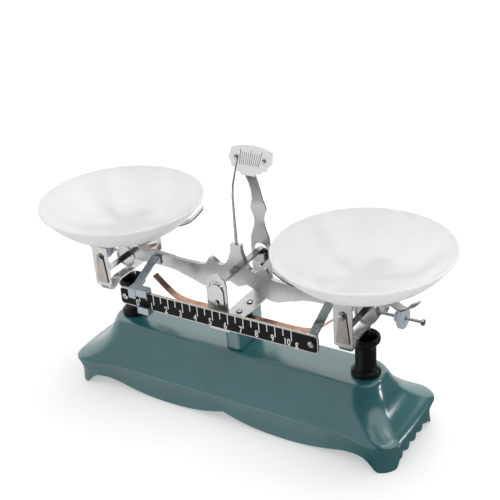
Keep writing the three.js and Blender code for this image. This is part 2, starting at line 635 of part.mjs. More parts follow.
const endZ = END_PIVOT_Z - END_RING_DROP;
const halfBeam = BEAM_T / 2;
const discHalf = halfBeam + END_RIM_T;
const roundEnd = (side) => turnedY([[0, -halfBeam], [END_R - END_RIM, -halfBeam], [END_R - END_RIM, -discHalf], [END_R, -discHalf],
  [END_R, discHalf], [END_R - END_RIM, discHalf], [END_R - END_RIM, halfBeam], [0, halfBeam]], side * endX, 0, endZ, 1, 24);
const knifeHole = (points) => plateXZ(points, -discHalf - OVERRUN, 2 * (discHalf + OVERRUN));
add('beam_plate', cut(join(plateXZ(beamOutline, -halfBeam, BEAM_T), roundEnd(-1), roundEnd(1)),
  knifeHole(knifeShape(GAP)), knifeHole(endKnifeShape(-ARM, GAP)), knifeHole(endKnifeShape(ARM, GAP))), CHROME);
const knifeFront = YOKE_FRONT + YOKE_T - KNIFE_SHY;
const knifeRear = YOKE_REAR + YOKE_T - KNIFE_SHY;
add('central_knife', plateXZ(knifeShape(0), -knifeFront, knifeFront + knifeRear), KNIFE_STEEL);
const endKnifeY = PLATE_Y - 2 * GAP;
for (const [word, side] of SIDES) {
  add(`${word}_end_knife`, plateXZ(endKnifeShape(side * ARM, 0), -endKnifeY, 2 * endKnifeY), KNIFE_STEEL);
}

// Pointer up from the beam's crest, bent back over the dial
const pointerFoot = END_PIVOT_Z + CREST_RISE + GAP;
const pointerRings = POINTER_SHARES.map(([lean, rise, thick]) => {
  const y = POINTER_LEAN * lean;
  const z = pointerFoot + POINTER_RISE * rise;
  const r = POINTER_R * thick;
  return [[-r, y - r / 2, z], [r, y - r / 2, z], [r, y + r / 2, z], [-r, y + r / 2, z]];
});
add('pointer', loft(pointerRings), STEEL);

// Scale bar and its screws
const barHalfX = ARM - BAR_SETBACK;
const barScrewX = barHalfX - BAR_SCREW_INSET;
const barTop = BAR_Z + BAR_HALF_Z;
const barFoot = BAR_Z - BAR_HALF_Z;
const barFront = BAR_Y - BAR_T / 2;
const barBack = BAR_Y + BAR_T / 2;
const barPoints = roundedRectangle(barHalfX, BAR_HALF_Z, BAR_CORNER).map(([x, z]) => [x, z + BAR_Z]);
add('scale_bar', plateXZ(barPoints, barFront, BAR_T,
  SIDES.map(([, side]) => circle(side * barScrewX, BAR_Z, SCREW_HOLE_R, 12))), BLACK_LACQUER);
for (const [word, side] of SIDES) {
  add(`${word}_scale_screw`, turnedY(screwProfile(BAR_SCREW), side * barScrewX, barFront - GAP, BAR_Z, -1, 10), STEEL);
}

// Struts: flat on the beam at the top, slanting down behind the bar; the left one also hooks over it as a stop
const strutY = barBack + GAP + STRUT_T / 2;
const seatY = -halfBeam - GAP - STRUT_T / 2;
const seatTop = PIVOT_Z - STRUT_SEAT_DROP;
const strutFoot = BAR_Z - STRUT_FOOT;
const strutBends = STRUT_BEND_SHARES.map(([across, up]) => [strutY + (seatY - strutY) * across, strutFoot + (barTop - strutFoot) * up]);
const strutLine = [[strutY, strutFoot], ...strutBends, [seatY - STRUT_T, seatTop], [seatY, seatTop - STRUT_T / 2],
  [seatY, seatTop - STRUT_SEAT]];
const strutPlate = (xLow) => plateYZ(ribbon(strutLine, STRUT_T / 2), xLow, STRUT_W);
const hookRoot = strutY + STRUT_T * 3;
const hookFront = barFront - GAP;
const stopHook = [[hookRoot, barTop + GAP], [hookRoot, barTop + GAP + STRUT_T], [hookFront - STRUT_T, barTop + GAP + STRUT_T],
  [hookFront - STRUT_T, barTop - HOOK_DEPTH], [hookFront, barTop - HOOK_DEPTH], [hookFront, barTop + GAP]];
const leftEdge = -barScrewX + STRUT_INSET;
const screwTab = box(-barScrewX - STRUT_INSET, leftEdge + STRUT_W, barBack + GAP, barBack + GAP + STRUT_T, strutFoot,
  BAR_Z + TAB_RISE);
add('left_strut', cut(join(strutPlate(leftEdge), plateYZ(stopHook, leftEdge, STRUT_W), screwTab),
  drillY(-barScrewX, strutY, BAR_Z, 2 * STRUT_T)), ZINC);
add('right_strut', cut(strutPlate(barScrewX - STRUT_W / 2), drillY(barScrewX, strutY, BAR_Z, 2 * STRUT_T)), ZINC);

// Rider: a block with jaws that grip the bar from above and below
const riderFront = barFront - PLAY - RIDER_FRONT;
const riderBack = barBack + PLAY + RIDER_BACK;
const riderShape = [
  [riderFront, barFoot - PLAY - RIDER_FOOT], [riderBack, barFoot - PLAY - RIDER_FOOT],
  [riderBack, barTop + PLAY + RIDER_FRONT], [riderFront, barTop + PLAY + RIDER_FRONT],
  [riderFront, barTop - RIDER_LIP], [barFront - PLAY, barTop - RIDER_LIP], [barFront - PLAY, barTop + PLAY],
  [barBack + PLAY, barTop + PLAY], [barBack + PLAY, barFoot - PLAY], [barFront - PLAY, barFoot - PLAY],
  [barFront - PLAY, barFoot + RIDER_LIP], [riderFront, barFoot + RIDER_LIP],
];
add('rider', plateYZ(riderShape, ZERO_INSET - barHalfX - RIDER_SHIFT, RIDER_W), ZINC);

// Balance screws and their nuts
const rodZ = END_PIVOT_Z - ROD_DROP;
for (const [word, side] of SIDES) {
  const start = endX + END_R + GAP;
  const length = ROD_LENGTH[word];
  add(`${word}_balance_screw`, turnedX([[0, 0], [ROD_R, 0], [ROD_R, length - CAP_L], [CAP_R, length - CAP_L],
    [CAP_R, length - CAP_EDGE], [CAP_R - CAP_EDGE, length], [0, length]], side * start, 0, rodZ, side, 14), STEEL);
  const nutPoints = [];
  for (let i = 0; i < 2 * KNURLS; i += 1) {
    const r = i % 2 === 0 ? NUT_R : NUT_R - KNURL_DEPTH;
    const angle = FULL * i / (2 * KNURLS);
    nutPoints.push([r * Math.cos(angle), rodZ + r * Math.sin(angle)]);
  }
  const bore = circle(0, rodZ, ROD_R + HOLE_PLAY, 16);
  const place = side * (start + NUT_PLACE[word]);
  const disc = plateYZ(nutPoints, place - NUT_L / 2, NUT_L, [bore]);
  const hubLow = side > 0 ? place - NUT_L / 2 - HUB_L : place + NUT_L / 2 - CAP_EDGE;
  const hub = plateYZ(circle(0, rodZ, HUB_R, 24), hubLow, HUB_L + CAP_EDGE, [bore]);
  add(`${word}_balance_nut`, join(disc, hub), STEEL);
}

// Stirrup: bent loop, curled floor strip, leg with its pin, and four arms under the pan
const crownZ = END_PIVOT_Z + CROWN_RISE;
const plateFoot = END_PIVOT_Z - PLATE_DROP;
const floorZ = END_PIVOT_Z - FLOOR_DROP;
function stirrup() {
  const outerY = PLATE_Y + PLATE_T;
  const topZ = crownZ + PLATE_T;
  const outerBend = arc(outerY - CROWN_CORNER, topZ - CROWN_CORNER, CROWN_CORNER, 0, QUARTER, 4);
  const innerBend = arc(outerY - CROWN_CORNER, topZ - CROWN_CORNER, CROWN_CORNER - PLATE_T, 0, QUARTER, 4);
  const outerHalf = [[outerY, plateFoot], ...outerBend];
  const innerHalf = [[PLATE_Y, plateFoot], ...innerBend];
  const loop = [...outerHalf, ...outerHalf.map(([y, z]) => [-y, z]).reverse(), ...innerHalf.map(([y, z]) => [-y, z]),
    ...innerHalf.slice().reverse()];
  const feet = [...arc(PLATE_HALF_X - PLATE_CORNER, plateFoot + PLATE_CORNER, PLATE_CORNER, -QUARTER, 0, 4),
    [PLATE_HALF_X, topZ + OVERRUN], [-PLATE_HALF_X, topZ + OVERRUN],
    ...arc(PLATE_CORNER - PLATE_HALF_X, plateFoot + PLATE_CORNER, PLATE_CORNER, -2 * QUARTER, -QUARTER, 4)];
  const frame = keep(plateYZ(loop, -PLATE_HALF_X, 2 * PLATE_HALF_X), plateXZ(feet, -outerY - OVERRUN, 2 * (outerY + OVERRUN)));
  const floorLine = mirrorLine(FLOOR_SHARES.map(([across, drop]) => [PLATE_Y * across, floorZ - CURL_DROP * drop]));
  const floorStrip = plateYZ(ribbon(floorLine, PLATE_T / 2), -LEG_HALF_X, 2 * LEG_HALF_X);
  const leg = box(-LEG_HALF_X, LEG_HALF_X, -PLATE_T / 2, PLATE_T / 2, STAY_END_Z - LEG_FOOT_DROP, floorZ);
  const pin = turnedY([[0, 0], [PIN_R, 0], [PIN_R, PIN_END], [0, PIN_END]], 0, 0, STAY_END_Z, 1, 16);
  const armZ = crownZ + PLATE_T / 2;
  const armReach = PAN_R - SPIDER_SETBACK;
  const armRise = PAN_DEPTH * SPIDER_RISE_SHARE;
  const armLine = [[0, armZ]].concat(smoothRun(SPIDER_SHARES.map(([out, up]) => [armReach * out, armZ + armRise * up]), 2));
  const arms = SPIDER_ANGLES.map((angle) => plateYZ(ribbon(armLine, PLATE_T / 2), -SPIDER_HALF_W, 2 * SPIDER_HALF_W)
    .rotateZ((angle - 90) * Math.PI / 180));
  const middle = box(-PLATE_HALF_X, PLATE_HALF_X, -PLATE_HALF_X, PLATE_HALF_X, crownZ, topZ);
  const plateHoles = FACES.map(([, face]) => drillY(0, face * (PLATE_Y + PLATE_T / 2), END_PIVOT_Z + END_SCREW_RISE, 2 * PLATE_T));
  return cut(join(frame, floorStrip, leg, pin, middle, ...arms), ...plateHoles);
}

// Covers, screws and grooved bearings of the stirrups
const coverHeight = CROWN_RISE + PLATE_DROP;
for (const [word, side] of SIDES) {
  add(`${word}_stirrup`, stirrup().translate(side * ARM, 0, 0), CHROME);
  for (const [faceWord, face] of FACES) {
    const outer = PLATE_Y + PLATE_T;
    const coverFar = face * (outer + GAP + COVER_T);
    const coverNear = face * (outer + GAP);
    const coverPoints = END_COVER_SHARES.map(([across, up]) => [PLATE_HALF_X * across, plateFoot + coverHeight * up]);
    const screwZ = END_PIVOT_Z + END_SCREW_RISE;
    add(`${word}_${faceWord}_end_cover`, plateXZ(coverPoints, Math.min(coverFar, coverNear), COVER_T,
      [circle(0, screwZ, SCREW_HOLE_R, 12)]).translate(side * ARM, 0, 0), CHROME);
    const head = face * (outer + GAP + COVER_T + GAP);
    add(`${word}_${faceWord}_end_screw`, turnedY(screwProfile(END_SCREW), side * ARM, head, screwZ, face, 10), STEEL);
    const blockFoot = END_PIVOT_Z - END_BLOCK_DROP;
    const blockTop = END_PIVOT_Z + END_BLOCK_RISE;
    const blockWide = (END_BLOCK_DROP + GAP) * GROOVE_SLOPE;
    const blockFar = face * (PLATE_Y - GAP);
    const blockNear = face * (PLATE_Y - GAP - BLOCK_T);
    add(`${word}_${faceWord}_end_bearing`, plateXZ([[-BLOCK_HALF_X, blockFoot], [-blockWide, blockFoot],
      [0, END_PIVOT_Z + GAP], [blockWide, blockFoot], [BLOCK_HALF_X, blockFoot], [BLOCK_HALF_X, blockTop],
      [-BLOCK_HALF_X, blockTop]], Math.min(blockFar, blockNear), BLOCK_T).translate(side * ARM, 0, 0), KNIFE_STEEL);
  }
}

// Pans: a thin dish with a flat foot and a lip, lying on the arms
const panFloor = crownZ + PLATE_T + GAP;
const panOuter = PAN_SHARES.map(([out, up]) => [PAN_R * out, PAN_DEPTH * up]);
const wallIn = PAN_WALL * Math.SQRT1_2;
const panInner = panOuter.slice(1).map(([r, z]) => [r - wallIn, z + wallIn]);
const panProfile = [[0, 0], ...panOuter, [PAN_R, PAN_DEPTH - PAN_WALL / 2], [PAN_R, PAN_DEPTH], [PAN_R - PAN_LIP, PAN_DEPTH],
  ...panInner.slice(0, -1).reverse(), [panOuter[0][0], PAN_WALL], [0, PAN_WALL]];
for (const [word, side] of SIDES) {
  add(`${word}_pan`, turned(panProfile, 36).translate(side * ARM, 0, panFloor), MILKY_PLASTIC);
}

// Stay with its bracket under the plateau
const stayHole = PIN_R + HOLE_PLAY;
const stayEdge = (sign) => [[ARM + STAY_OVER, STAY_END_Z + sign * STAY_HALF_Z], [ARM - STAY_TAPER, STAY_END_Z + sign * STAY_HALF_Z],
  [STAY_MIDDLE, STAY_PIVOT_Z + sign * (STAY_HALF_Z + STAY_SWELL)]];
const mirrored = (line) => line.map(([x, z]) => [-x, z]);
const stayOutline = [...mirrored(stayEdge(-1)), ...stayEdge(-1).reverse(), ...stayEdge(1), ...mirrored(stayEdge(1)).reverse()];
add('stay_bar', plateXZ(stayOutline, STAY_Y, STAY_T, [circle(0, STAY_PIVOT_Z, stayHole, 16),
  circle(-ARM, STAY_END_Z, stayHole, 16), circle(ARM, STAY_END_Z, stayHole, 16)]), ZINC);
const bracketTop = PLATEAU_Z - BASE_WALL - GAP;
const bracketFoot = STAY_PIVOT_Z - STAY_HALF_Z - STAY_SWELL;
const bracketRear = STAY_Y - BRACKET_CLEAR;
const bracketPlate = box(-BRACKET_HALF_X, BRACKET_HALF_X, bracketRear - BRACKET_T, bracketRear, bracketFoot, bracketTop);
const bracketFlange = box(-BRACKET_HALF_X, BRACKET_HALF_X, bracketRear - BRACKET_FOOT_L, bracketRear, bracketTop - BRACKET_T, bracketTop);
const pinFoot = bracketRear - BRACKET_T / 2;
const bracketPin = turnedY([[0, 0], [PIN_R, 0], [PIN_R, PIN_END - pinFoot], [0, PIN_END - pinFoot]], 0, pinFoot, STAY_PIVOT_Z, 1, 16);
add('stay_bracket', join(bracketPlate, bracketFlange, bracketPin), ZINC);

export default part;
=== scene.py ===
# %% [markdown]
# A two-pan table balance, dressed for its photograph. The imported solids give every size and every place.
# Each cell makes one piece or one finish, and says first what it is on the real balance.

# %% The frame
import json
import math

import bmesh
import bpy
import numpy as np
from mathutils import Matrix, Vector


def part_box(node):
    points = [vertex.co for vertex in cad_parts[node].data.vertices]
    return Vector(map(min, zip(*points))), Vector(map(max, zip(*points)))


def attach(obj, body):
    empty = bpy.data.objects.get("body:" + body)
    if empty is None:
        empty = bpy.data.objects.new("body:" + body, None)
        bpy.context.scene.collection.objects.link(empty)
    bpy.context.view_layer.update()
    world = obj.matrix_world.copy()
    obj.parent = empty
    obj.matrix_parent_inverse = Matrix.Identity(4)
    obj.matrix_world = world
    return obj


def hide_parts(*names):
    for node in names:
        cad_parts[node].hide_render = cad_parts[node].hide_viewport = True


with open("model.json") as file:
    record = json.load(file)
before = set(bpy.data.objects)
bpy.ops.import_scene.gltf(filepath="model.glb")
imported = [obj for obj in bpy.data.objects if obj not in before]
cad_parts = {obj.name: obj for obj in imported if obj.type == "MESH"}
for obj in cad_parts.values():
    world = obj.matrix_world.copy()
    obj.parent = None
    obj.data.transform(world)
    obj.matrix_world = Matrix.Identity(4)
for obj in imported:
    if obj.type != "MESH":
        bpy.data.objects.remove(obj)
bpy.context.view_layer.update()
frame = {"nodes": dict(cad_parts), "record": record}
NODES = frame["nodes"]
MM = 0.001
FULL = 2 * math.pi
SIDES = {"left": -1, "right": 1}
FACES = ("front", "rear")

# %% [markdown]
# The camera stands in front of the balance, to its right and above it. Its place, its turn and its focal length
# were worked out from measured points of the photograph, so every piece falls where the photograph shows it.

# %% Camera
# The place in millimetres, the turns in degrees, and the focal length in pixels of the photograph
PHOTO_SIDE = 500
SENSOR = 36.0
CAMERA_AT = (452.0, -671.9, 570.7)
CAMERA_YAW, CAMERA_PITCH, CAMERA_ROLL = (math.radians(a) for a in (33.13, -27.37, -4.32))
FOCAL_PIXELS = 1058.0

forward = Vector((-math.sin(CAMERA_YAW) * math.cos(CAMERA_PITCH), math.cos(CAMERA_YAW) * math.cos(CAMERA_PITCH),
                  math.sin(CAMERA_PITCH)))
level_right = Vector((math.cos(CAMERA_YAW), math.sin(CAMERA_YAW), 0))
level_up = level_right.cross(forward)
right = level_right * math.cos(CAMERA_ROLL) + level_up * math.sin(CAMERA_ROLL)
up = level_up * math.cos(CAMERA_ROLL) - level_right * math.sin(CAMERA_ROLL)
camera = bpy.data.objects.new("camera", bpy.data.cameras.new("camera"))
bpy.context.scene.collection.objects.link(camera)
camera_turn = Matrix((right, up, -forward)).transposed().to_4x4()
camera.matrix_world = Matrix.Translation(Vector(CAMERA_AT) * MM) @ camera_turn
camera.data.sensor_width = SENSOR
camera.data.lens = FOCAL_PIXELS / PHOTO_SIDE * SENSOR
bpy.context.scene.camera = camera
print("lens", round(camera.data.lens, 1), "mm")

# %% [markdown]
# Colours are written as a painter picks them, in sRGB hex, and one function turns them to the linear numbers
# that the shader works in. One more function adds a shader node, and sets or links its sockets by name.

# %% Colour and node helpers
def linear(text):
    shares = [int(text[i:i + 2], 16) / 255 for i in (1, 3, 5)]
    return tuple(c / 12.92 if c <= 0.04045 else ((c + 0.055) / 1.055) ** 2.4 for c in shares) + (1.0,)


def add_node(tree, kind, values=None, **settings):
    made = tree.nodes.new(kind)
    for key, value in settings.items():
        setattr(made, key, value)
    for key, value in (values or {}).items():
        if isinstance(value, bpy.types.NodeSocket):
            tree.links.new(value, made.inputs[key])
        else:
            made.inputs[key].default_value = value
    return made


def start_material(name):
    made = bpy.data.materials.new(name)
    made.use_nodes = True
    made.node_tree.nodes.clear()
    return made, made.node_tree


def per_mm(size):
    return 1 / (size * MM)


def finish_material(tree, shader):
    add_node(tree, "ShaderNodeOutputMaterial", {"Surface": shader.outputs[0]})


# %% [markdown]
# The base and the pillar are cast iron under a stoved enamel, green with some blue. Stoving leaves a glossy skin
# with a faint orange peel, so the coat is smooth, and the waves under it are about two millimetres long.
# The colour turns a little lighter along sharp convex edges. The coat's index is set high,
# because this skin mirrors its surroundings more strongly than a plain varnish does.

# %% Stoved enamel
CLOUD_SIZE, CLOUD_FROM, CLOUD_TO = 45, 0.3, 0.7
PEEL_SIZE, PEEL_DEEP, PEEL_STRENGTH = 2.2, 0.05, 0.08
EDGE_FROM, EDGE_TO = 0.53, 0.62


def stoved_enamel(name, deep, pale, edge):
    made, tree = start_material(name)
    place = add_node(tree, "ShaderNodeTexCoord").outputs["Object"]
    cloud = add_node(tree, "ShaderNodeTexNoise", {"Vector": place, "Scale": per_mm(CLOUD_SIZE), "Detail": 3.0})
    tint = add_node(tree, "ShaderNodeValToRGB", {"Fac": cloud.outputs["Fac"]})
    tint.color_ramp.elements[0].position = CLOUD_FROM
    tint.color_ramp.elements[0].color = linear(deep)
    tint.color_ramp.elements[1].position = CLOUD_TO
    tint.color_ramp.elements[1].color = linear(pale)
    # The colour turns lighter along sharp convex edges, following the pointiness of the mesh.
    edges = add_node(tree, "ShaderNodeNewGeometry").outputs["Pointiness"]
    sharp = add_node(tree, "ShaderNodeValToRGB", {"Fac": edges})
    sharp.color_ramp.elements[0].position = EDGE_FROM
    sharp.color_ramp.elements[1].position = EDGE_TO
    edge_lightened = add_node(tree, "ShaderNodeMix", {
        "Factor": sharp.outputs["Color"], "A": tint.outputs["Color"], "B": linear(edge)}, data_type="RGBA")
    peel = add_node(tree, "ShaderNodeTexNoise", {"Vector": place, "Scale": per_mm(PEEL_SIZE), "Detail": 1.0})
    waves = add_node(tree, "ShaderNodeBump", {
        "Height": peel.outputs["Fac"], "Strength": PEEL_STRENGTH, "Distance": PEEL_DEEP * MM})
    shader = add_node(tree, "ShaderNodeBsdfPrincipled", {
        "Base Color": edge_lightened.outputs["Result"], "Roughness": 0.4, "IOR": 1.5, "Coat Weight": 1.0,
        "Coat Roughness": 0.19, "Coat IOR": 2.1, "Normal": waves.outputs["Normal"]})
    finish_material(tree, shader)
    return made


ENAMEL = stoved_enamel("stoved_enamel", "#175F63", "#1C6B6F", "#468587")
print("enamel ready")

# %% [markdown]
# Most of the small work is pressed steel with bright nickel. Polishing before plating leaves faint lines, and
# handling leaves soft patches, so the roughness changes slowly over the sheet. The yoke and the beam plate are
# plated over a coarser polish, so their nickel is satin. The same recipe serves every bare metal: only colour,
# gloss, the size of the patches in millimetres and the closeness of the lines change.

# %% Bare metals
TONE_FROM, TONE_TO = 0.35, 0.65
GLOSS_FROM, GLOSS_TO = 0.3, 0.7
GLOSSIER, DULLER = 0.8, 1.25
LINE_SIZE, LINE_DEEP, LINE_STRENGTH = 3, 0.02, 0.12


def bare_metal(name, low, high, rough, patch, line):
    made, tree = start_material(name)
    place = add_node(tree, "ShaderNodeTexCoord").outputs["Object"]
    smudge = add_node(tree, "ShaderNodeTexNoise", {"Vector": place, "Scale": per_mm(patch), "Detail": 4.0})
    tone = add_node(tree, "ShaderNodeValToRGB", {"Fac": smudge.outputs["Fac"]})
    tone.color_ramp.elements[0].position = TONE_FROM
    tone.color_ramp.elements[0].color = linear(low)
    tone.color_ramp.elements[1].position = TONE_TO
    tone.color_ramp.elements[1].color = linear(high)
    gloss = add_node(tree, "ShaderNodeMapRange", {
        "Value": smudge.outputs["Fac"], "From Min": GLOSS_FROM, "From Max": GLOSS_TO,
        "To Min": rough * GLOSSIER, "To Max": rough * DULLER})
    stretch = add_node(tree, "ShaderNodeMapping", {"Vector": place, "Scale": (1.0, 1.0, line)})
    grain = add_node(tree, "ShaderNodeTexNoise", {
        "Vector": stretch.outputs["Vector"], "Scale": per_mm(LINE_SIZE), "Detail": 2.0})
    lines = add_node(tree, "ShaderNodeBump", {
        "Height": grain.outputs["Fac"], "Strength": LINE_STRENGTH, "Distance": LINE_DEEP * MM})
    shader = add_node(tree, "ShaderNodeBsdfPrincipled", {
        "Base Color": tone.outputs["Color"], "Metallic": 1.0, "Roughness": gloss.outputs["Result"],
        "Normal": lines.outputs["Normal"]})
    finish_material(tree, shader)
    return made


NICKEL = bare_metal("bright_nickel_on_steel", "#C6C6C7", "#D6D6D7", 0.17, 14, 9)
DULL_NICKEL = bare_metal("dull_nickel_on_steel", "#A9A39E", "#BCB6B1", 0.26, 9, 9)
SATIN_NICKEL = bare_metal("satin_nickel_on_steel", "#C6C6C7", "#D6D6D7", 0.27, 14, 9)
WIRE_STEEL = bare_metal("drawn_steel_wire", "#8E9194", "#A6A9AB", 0.25, 3, 4)
SCREW_STEEL = bare_metal("nickelled_screw_steel", "#C4C4C5", "#DADADB", 0.2, 3, 4)
KNIFE_STEEL = bare_metal("hardened_knife_steel", "#A4A8AC", "#BCC0C3", 0.24, 6, 12)
ZINC = bare_metal("bright_zinc_plate", "#9FA4A8", "#B9BEC1", 0.26, 8, 5)
PALE_ZINC = bare_metal("die_cast_zinc", "#A7B0B8", "#BCC4CB", 0.36, 5, 2)
PALE_PLATE = bare_metal("etched_scale_plate", "#D6D5D0", "#E4E3DE", 0.42, 6, 6)
COPPER = bare_metal("coppered_spring_strip", "#AC8070", "#CBA08D", 0.24, 7, 10)
print("metals ready")

# %% [markdown]
# The sleeves are moulded in black plastic with a satin skin. The scale bar is printed black, and its marks are
# white ink. The pans are moulded in a milky plastic that lets light through, so the arms under them show as faint
# shadows: part of that shader is translucent. The dial plate is white lacquer on sheet. The balance nuts have a
# clear passivated skin over their zinc, which looks more like pale lacquer than like bare metal.

# %% Plastics, lacquer and ink
MOTTLE = 12
SKIN_STRENGTH = 0.15
COAT_ROUGH = 0.12


def coated(name, low, high, rough, grain, depth, coat=0.0, shine=0.5, through=0.0):
    made, tree = start_material(name)
    place = add_node(tree, "ShaderNodeTexCoord").outputs["Object"]
    cloud = add_node(tree, "ShaderNodeTexNoise", {"Vector": place, "Scale": per_mm(grain * MOTTLE), "Detail": 3.0})
    tone = add_node(tree, "ShaderNodeValToRGB", {"Fac": cloud.outputs["Fac"]})
    tone.color_ramp.elements[0].position = TONE_FROM
    tone.color_ramp.elements[0].color = linear(low)
    tone.color_ramp.elements[1].position = TONE_TO
    tone.color_ramp.elements[1].color = linear(high)
    speck = add_node(tree, "ShaderNodeTexNoise", {"Vector": place, "Scale": per_mm(grain), "Detail": 2.0})
    skin = add_node(tree, "ShaderNodeBump", {
        "Height": speck.outputs["Fac"], "Strength": SKIN_STRENGTH, "Distance": depth * MM})
    shader = add_node(tree, "ShaderNodeBsdfPrincipled", {
        "Base Color": tone.outputs["Color"], "Roughness": rough, "IOR": 1.49, "Specular IOR Level": shine,
        "Coat Weight": coat, "Coat Roughness": COAT_ROUGH, "Normal": skin.outputs["Normal"]})
    if through:
        glowing = add_node(tree, "ShaderNodeBsdfTranslucent", {"Color": tone.outputs["Color"]})
        shader = add_node(tree, "ShaderNodeMixShader", {0: through, 1: shader.outputs[0], 2: glowing.outputs[0]})
    finish_material(tree, shader)
    return made


BLACK_PLASTIC = coated("satin_black_abs", "#0C0C0D", "#131314", 0.3, 0.8, 0.03, shine=0.3)
WHITE_INK = coated("white_screen_ink", "#E2E4E2", "#ECEEEC", 0.55, 0.6, 0.01)
BLACK_INK = coated("black_screen_ink", "#141415", "#1D1C1D", 0.5, 0.8, 0.01, shine=0.15)
MILKY_PLASTIC = coated("milky_polypropylene", "#F6F6F6", "#F9F9F9", 0.42, 1.5, 0.02, through=0.4)
CLEAR_ZINC = coated("clear_passivated_zinc", "#B4BDC4", "#C4CCD2", 0.3, 0.8, 0.02, shine=0.9)
WHITE_LACQUER = coated("white_lacquer", "#EAEBEB", "#F0F1F1", 0.3, 1.5, 0.01, coat=0.5)
print("plastics ready")

# %% [markdown]
# Every solid of the frame gets a real finish at once, so that nothing is left grey while the detailed pieces come.

# %% Finishes for the frame
FINISH_WORDS = [
    ("casing", ENAMEL), ("pillar", ENAMEL), ("sleeve", BLACK_PLASTIC), ("limit_strip", COPPER),
    ("dial_plate", WHITE_LACQUER), ("screw", SCREW_STEEL), ("knife", KNIFE_STEEL), ("end_bearing", KNIFE_STEEL),
    ("front_bearing", KNIFE_STEEL), ("rear_bearing", KNIFE_STEEL), ("scale_bar", PALE_PLATE), ("strut", ZINC),
    ("rider", PALE_ZINC), ("nut", SCREW_STEEL), ("pan", MILKY_PLASTIC), ("stay", ZINC)]
for name, node in NODES.items():
    finish = NICKEL
    for word, material in FINISH_WORDS:
        if word in name and "cover" not in name.replace("cover_screw", ""):
            finish = material
            break
    node.data.materials.clear()
    node.data.materials.append(finish)
print("finishes set")

# %% [markdown]
# Each solid of the frame belongs to one moving body and has one finish slot. A finished mesh takes the place of
# its solid: it rides on the same body, and its creases stay crisp where the angle is steep.

# %% Helpers that put a finished mesh in place
# How steep an edge has to be, in degrees, to stay crisp
PLAIN_CREASE, SOFT_CREASE, SLEEVE_CREASE, FINE_CREASE = 35, 50, 40, 30
RECORD = frame["record"]
BODY_OF = {node: body for body, members in RECORD["behaviour"]["bodies"].items() for node in members}


def add_piece(name, mesh, finish, body, crease=PLAIN_CREASE):
    mesh.materials.clear()
    mesh.materials.append(finish)
    mesh.shade_smooth()
    mesh.set_sharp_from_angle(angle=math.radians(crease))
    made = bpy.data.objects.new(name, mesh)
    bpy.context.scene.collection.objects.link(made)
    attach(made, body)
    return made


def dress(node, mesh, finish, crease=PLAIN_CREASE):
    made = add_piece("fine_" + node, mesh, finish, BODY_OF[node], crease)
    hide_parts(node)
    return made


def mesh_from(form, name):
    bmesh.ops.recalc_face_normals(form, faces=form.faces)
    mesh = bpy.data.meshes.new(name)
    form.to_mesh(mesh)
    form.free()
    return mesh


# %% [markdown]
# Sheet that was cut and bent never has a razor edge. Tumbling and plating round it by a few tenths of a
# millimetre, and that thin line of light is what makes metal look like metal. So a plain piece is copied from its
# solid, its flat facets are joined, and every steep edge gets a small round. The large faces then hold the shading
# flat, through normals weighted by area, and only the small rounds bend the light.

# %% Eased edges
WELD = 0.002
FLAT_ANGLE = 0.5


def eased(node, width, steps=2, angle=25):
    form = bmesh.new()
    form.from_mesh(NODES[node].data)
    bmesh.ops.remove_doubles(form, verts=form.verts, dist=WELD * MM)
    bmesh.ops.dissolve_limit(form, angle_limit=math.radians(FLAT_ANGLE), verts=form.verts, edges=form.edges)
    steep = [e for e in form.edges if len(e.link_faces) == 2 and e.calc_face_angle() > math.radians(angle)]
    bmesh.ops.bevel(form, geom=steep, offset=width * MM, offset_type="OFFSET", segments=steps, profile=0.5,
                    affect="EDGES", clamp_overlap=True)
    return mesh_from(form, node + "_eased")


EASED = {
    "bearing_yoke": (0.35, SATIN_NICKEL), "pillar": (0.8, ENAMEL), "limit_strip": (0.3, COPPER),
    "front_bearing_cover": (0.25, NICKEL), "rear_bearing_cover": (0.25, NICKEL),
    "front_bearing": (0.3, KNIFE_STEEL), "rear_bearing": (0.3, KNIFE_STEEL),
    "central_knife": (0.12, KNIFE_STEEL), "left_end_knife": (0.12, KNIFE_STEEL),
    "right_end_knife": (0.12, KNIFE_STEEL), "dial_plate": (0.3, WHITE_LACQUER), "pointer": (0.15, WIRE_STEEL),
    "beam_plate": (0.5, SATIN_NICKEL), "scale_bar": (0.25, PALE_PLATE), "left_strut": (0.3, PALE_ZINC),
    "right_strut": (0.3, ZINC), "rider": (0.35, PALE_ZINC), "left_stirrup": (0.3, NICKEL),
    "right_stirrup": (0.3, NICKEL), "stay_bar": (0.3, ZINC), "stay_bracket": (0.3, ZINC)}
for side in SIDES:
    for face in FACES:
        EASED[f"{side}_{face}_end_cover"] = (0.2, DULL_NICKEL)
        EASED[f"{side}_{face}_end_bearing"] = (0.3, KNIFE_STEEL)
for node, (width, finish) in EASED.items():
    piece = dress(node, eased(node, width), finish)
    flat = piece.modifiers.new("flat_faces", "WEIGHTED_NORMAL")
    flat.keep_sharp = True
print("eased pieces", len(EASED))

# %% [markdown]
# Turned pieces come off a lathe, so each is a profile of radius and height, swung round an axis. A knurl is a
# wave on the outer radius, cut by a wheel that rolls along the rim. A few points and a smooth run through them are
# enough for a swept profile, and one more helper joins ring to ring, here and in every later piece made of rings.

# %% Turned pieces
def smooth_run(points, steps):
    """A smooth run through all the points, with the same number of steps from each to the next."""
    table = np.array(points, float)
    made = []
    for i in range(len(table) - 1):
        before, start, end = table[max(0, i - 1)], table[i], table[i + 1]
        after = table[min(len(table) - 1, i + 2)]
        for k in range(steps):
            t = k / steps
            made.append((2 * start + (end - before) * t + (2 * before - 5 * start + 4 * end - after) * t * t
                         + (3 * start - before - 3 * end + after) * t ** 3) / 2)
    return made + [table[-1]]


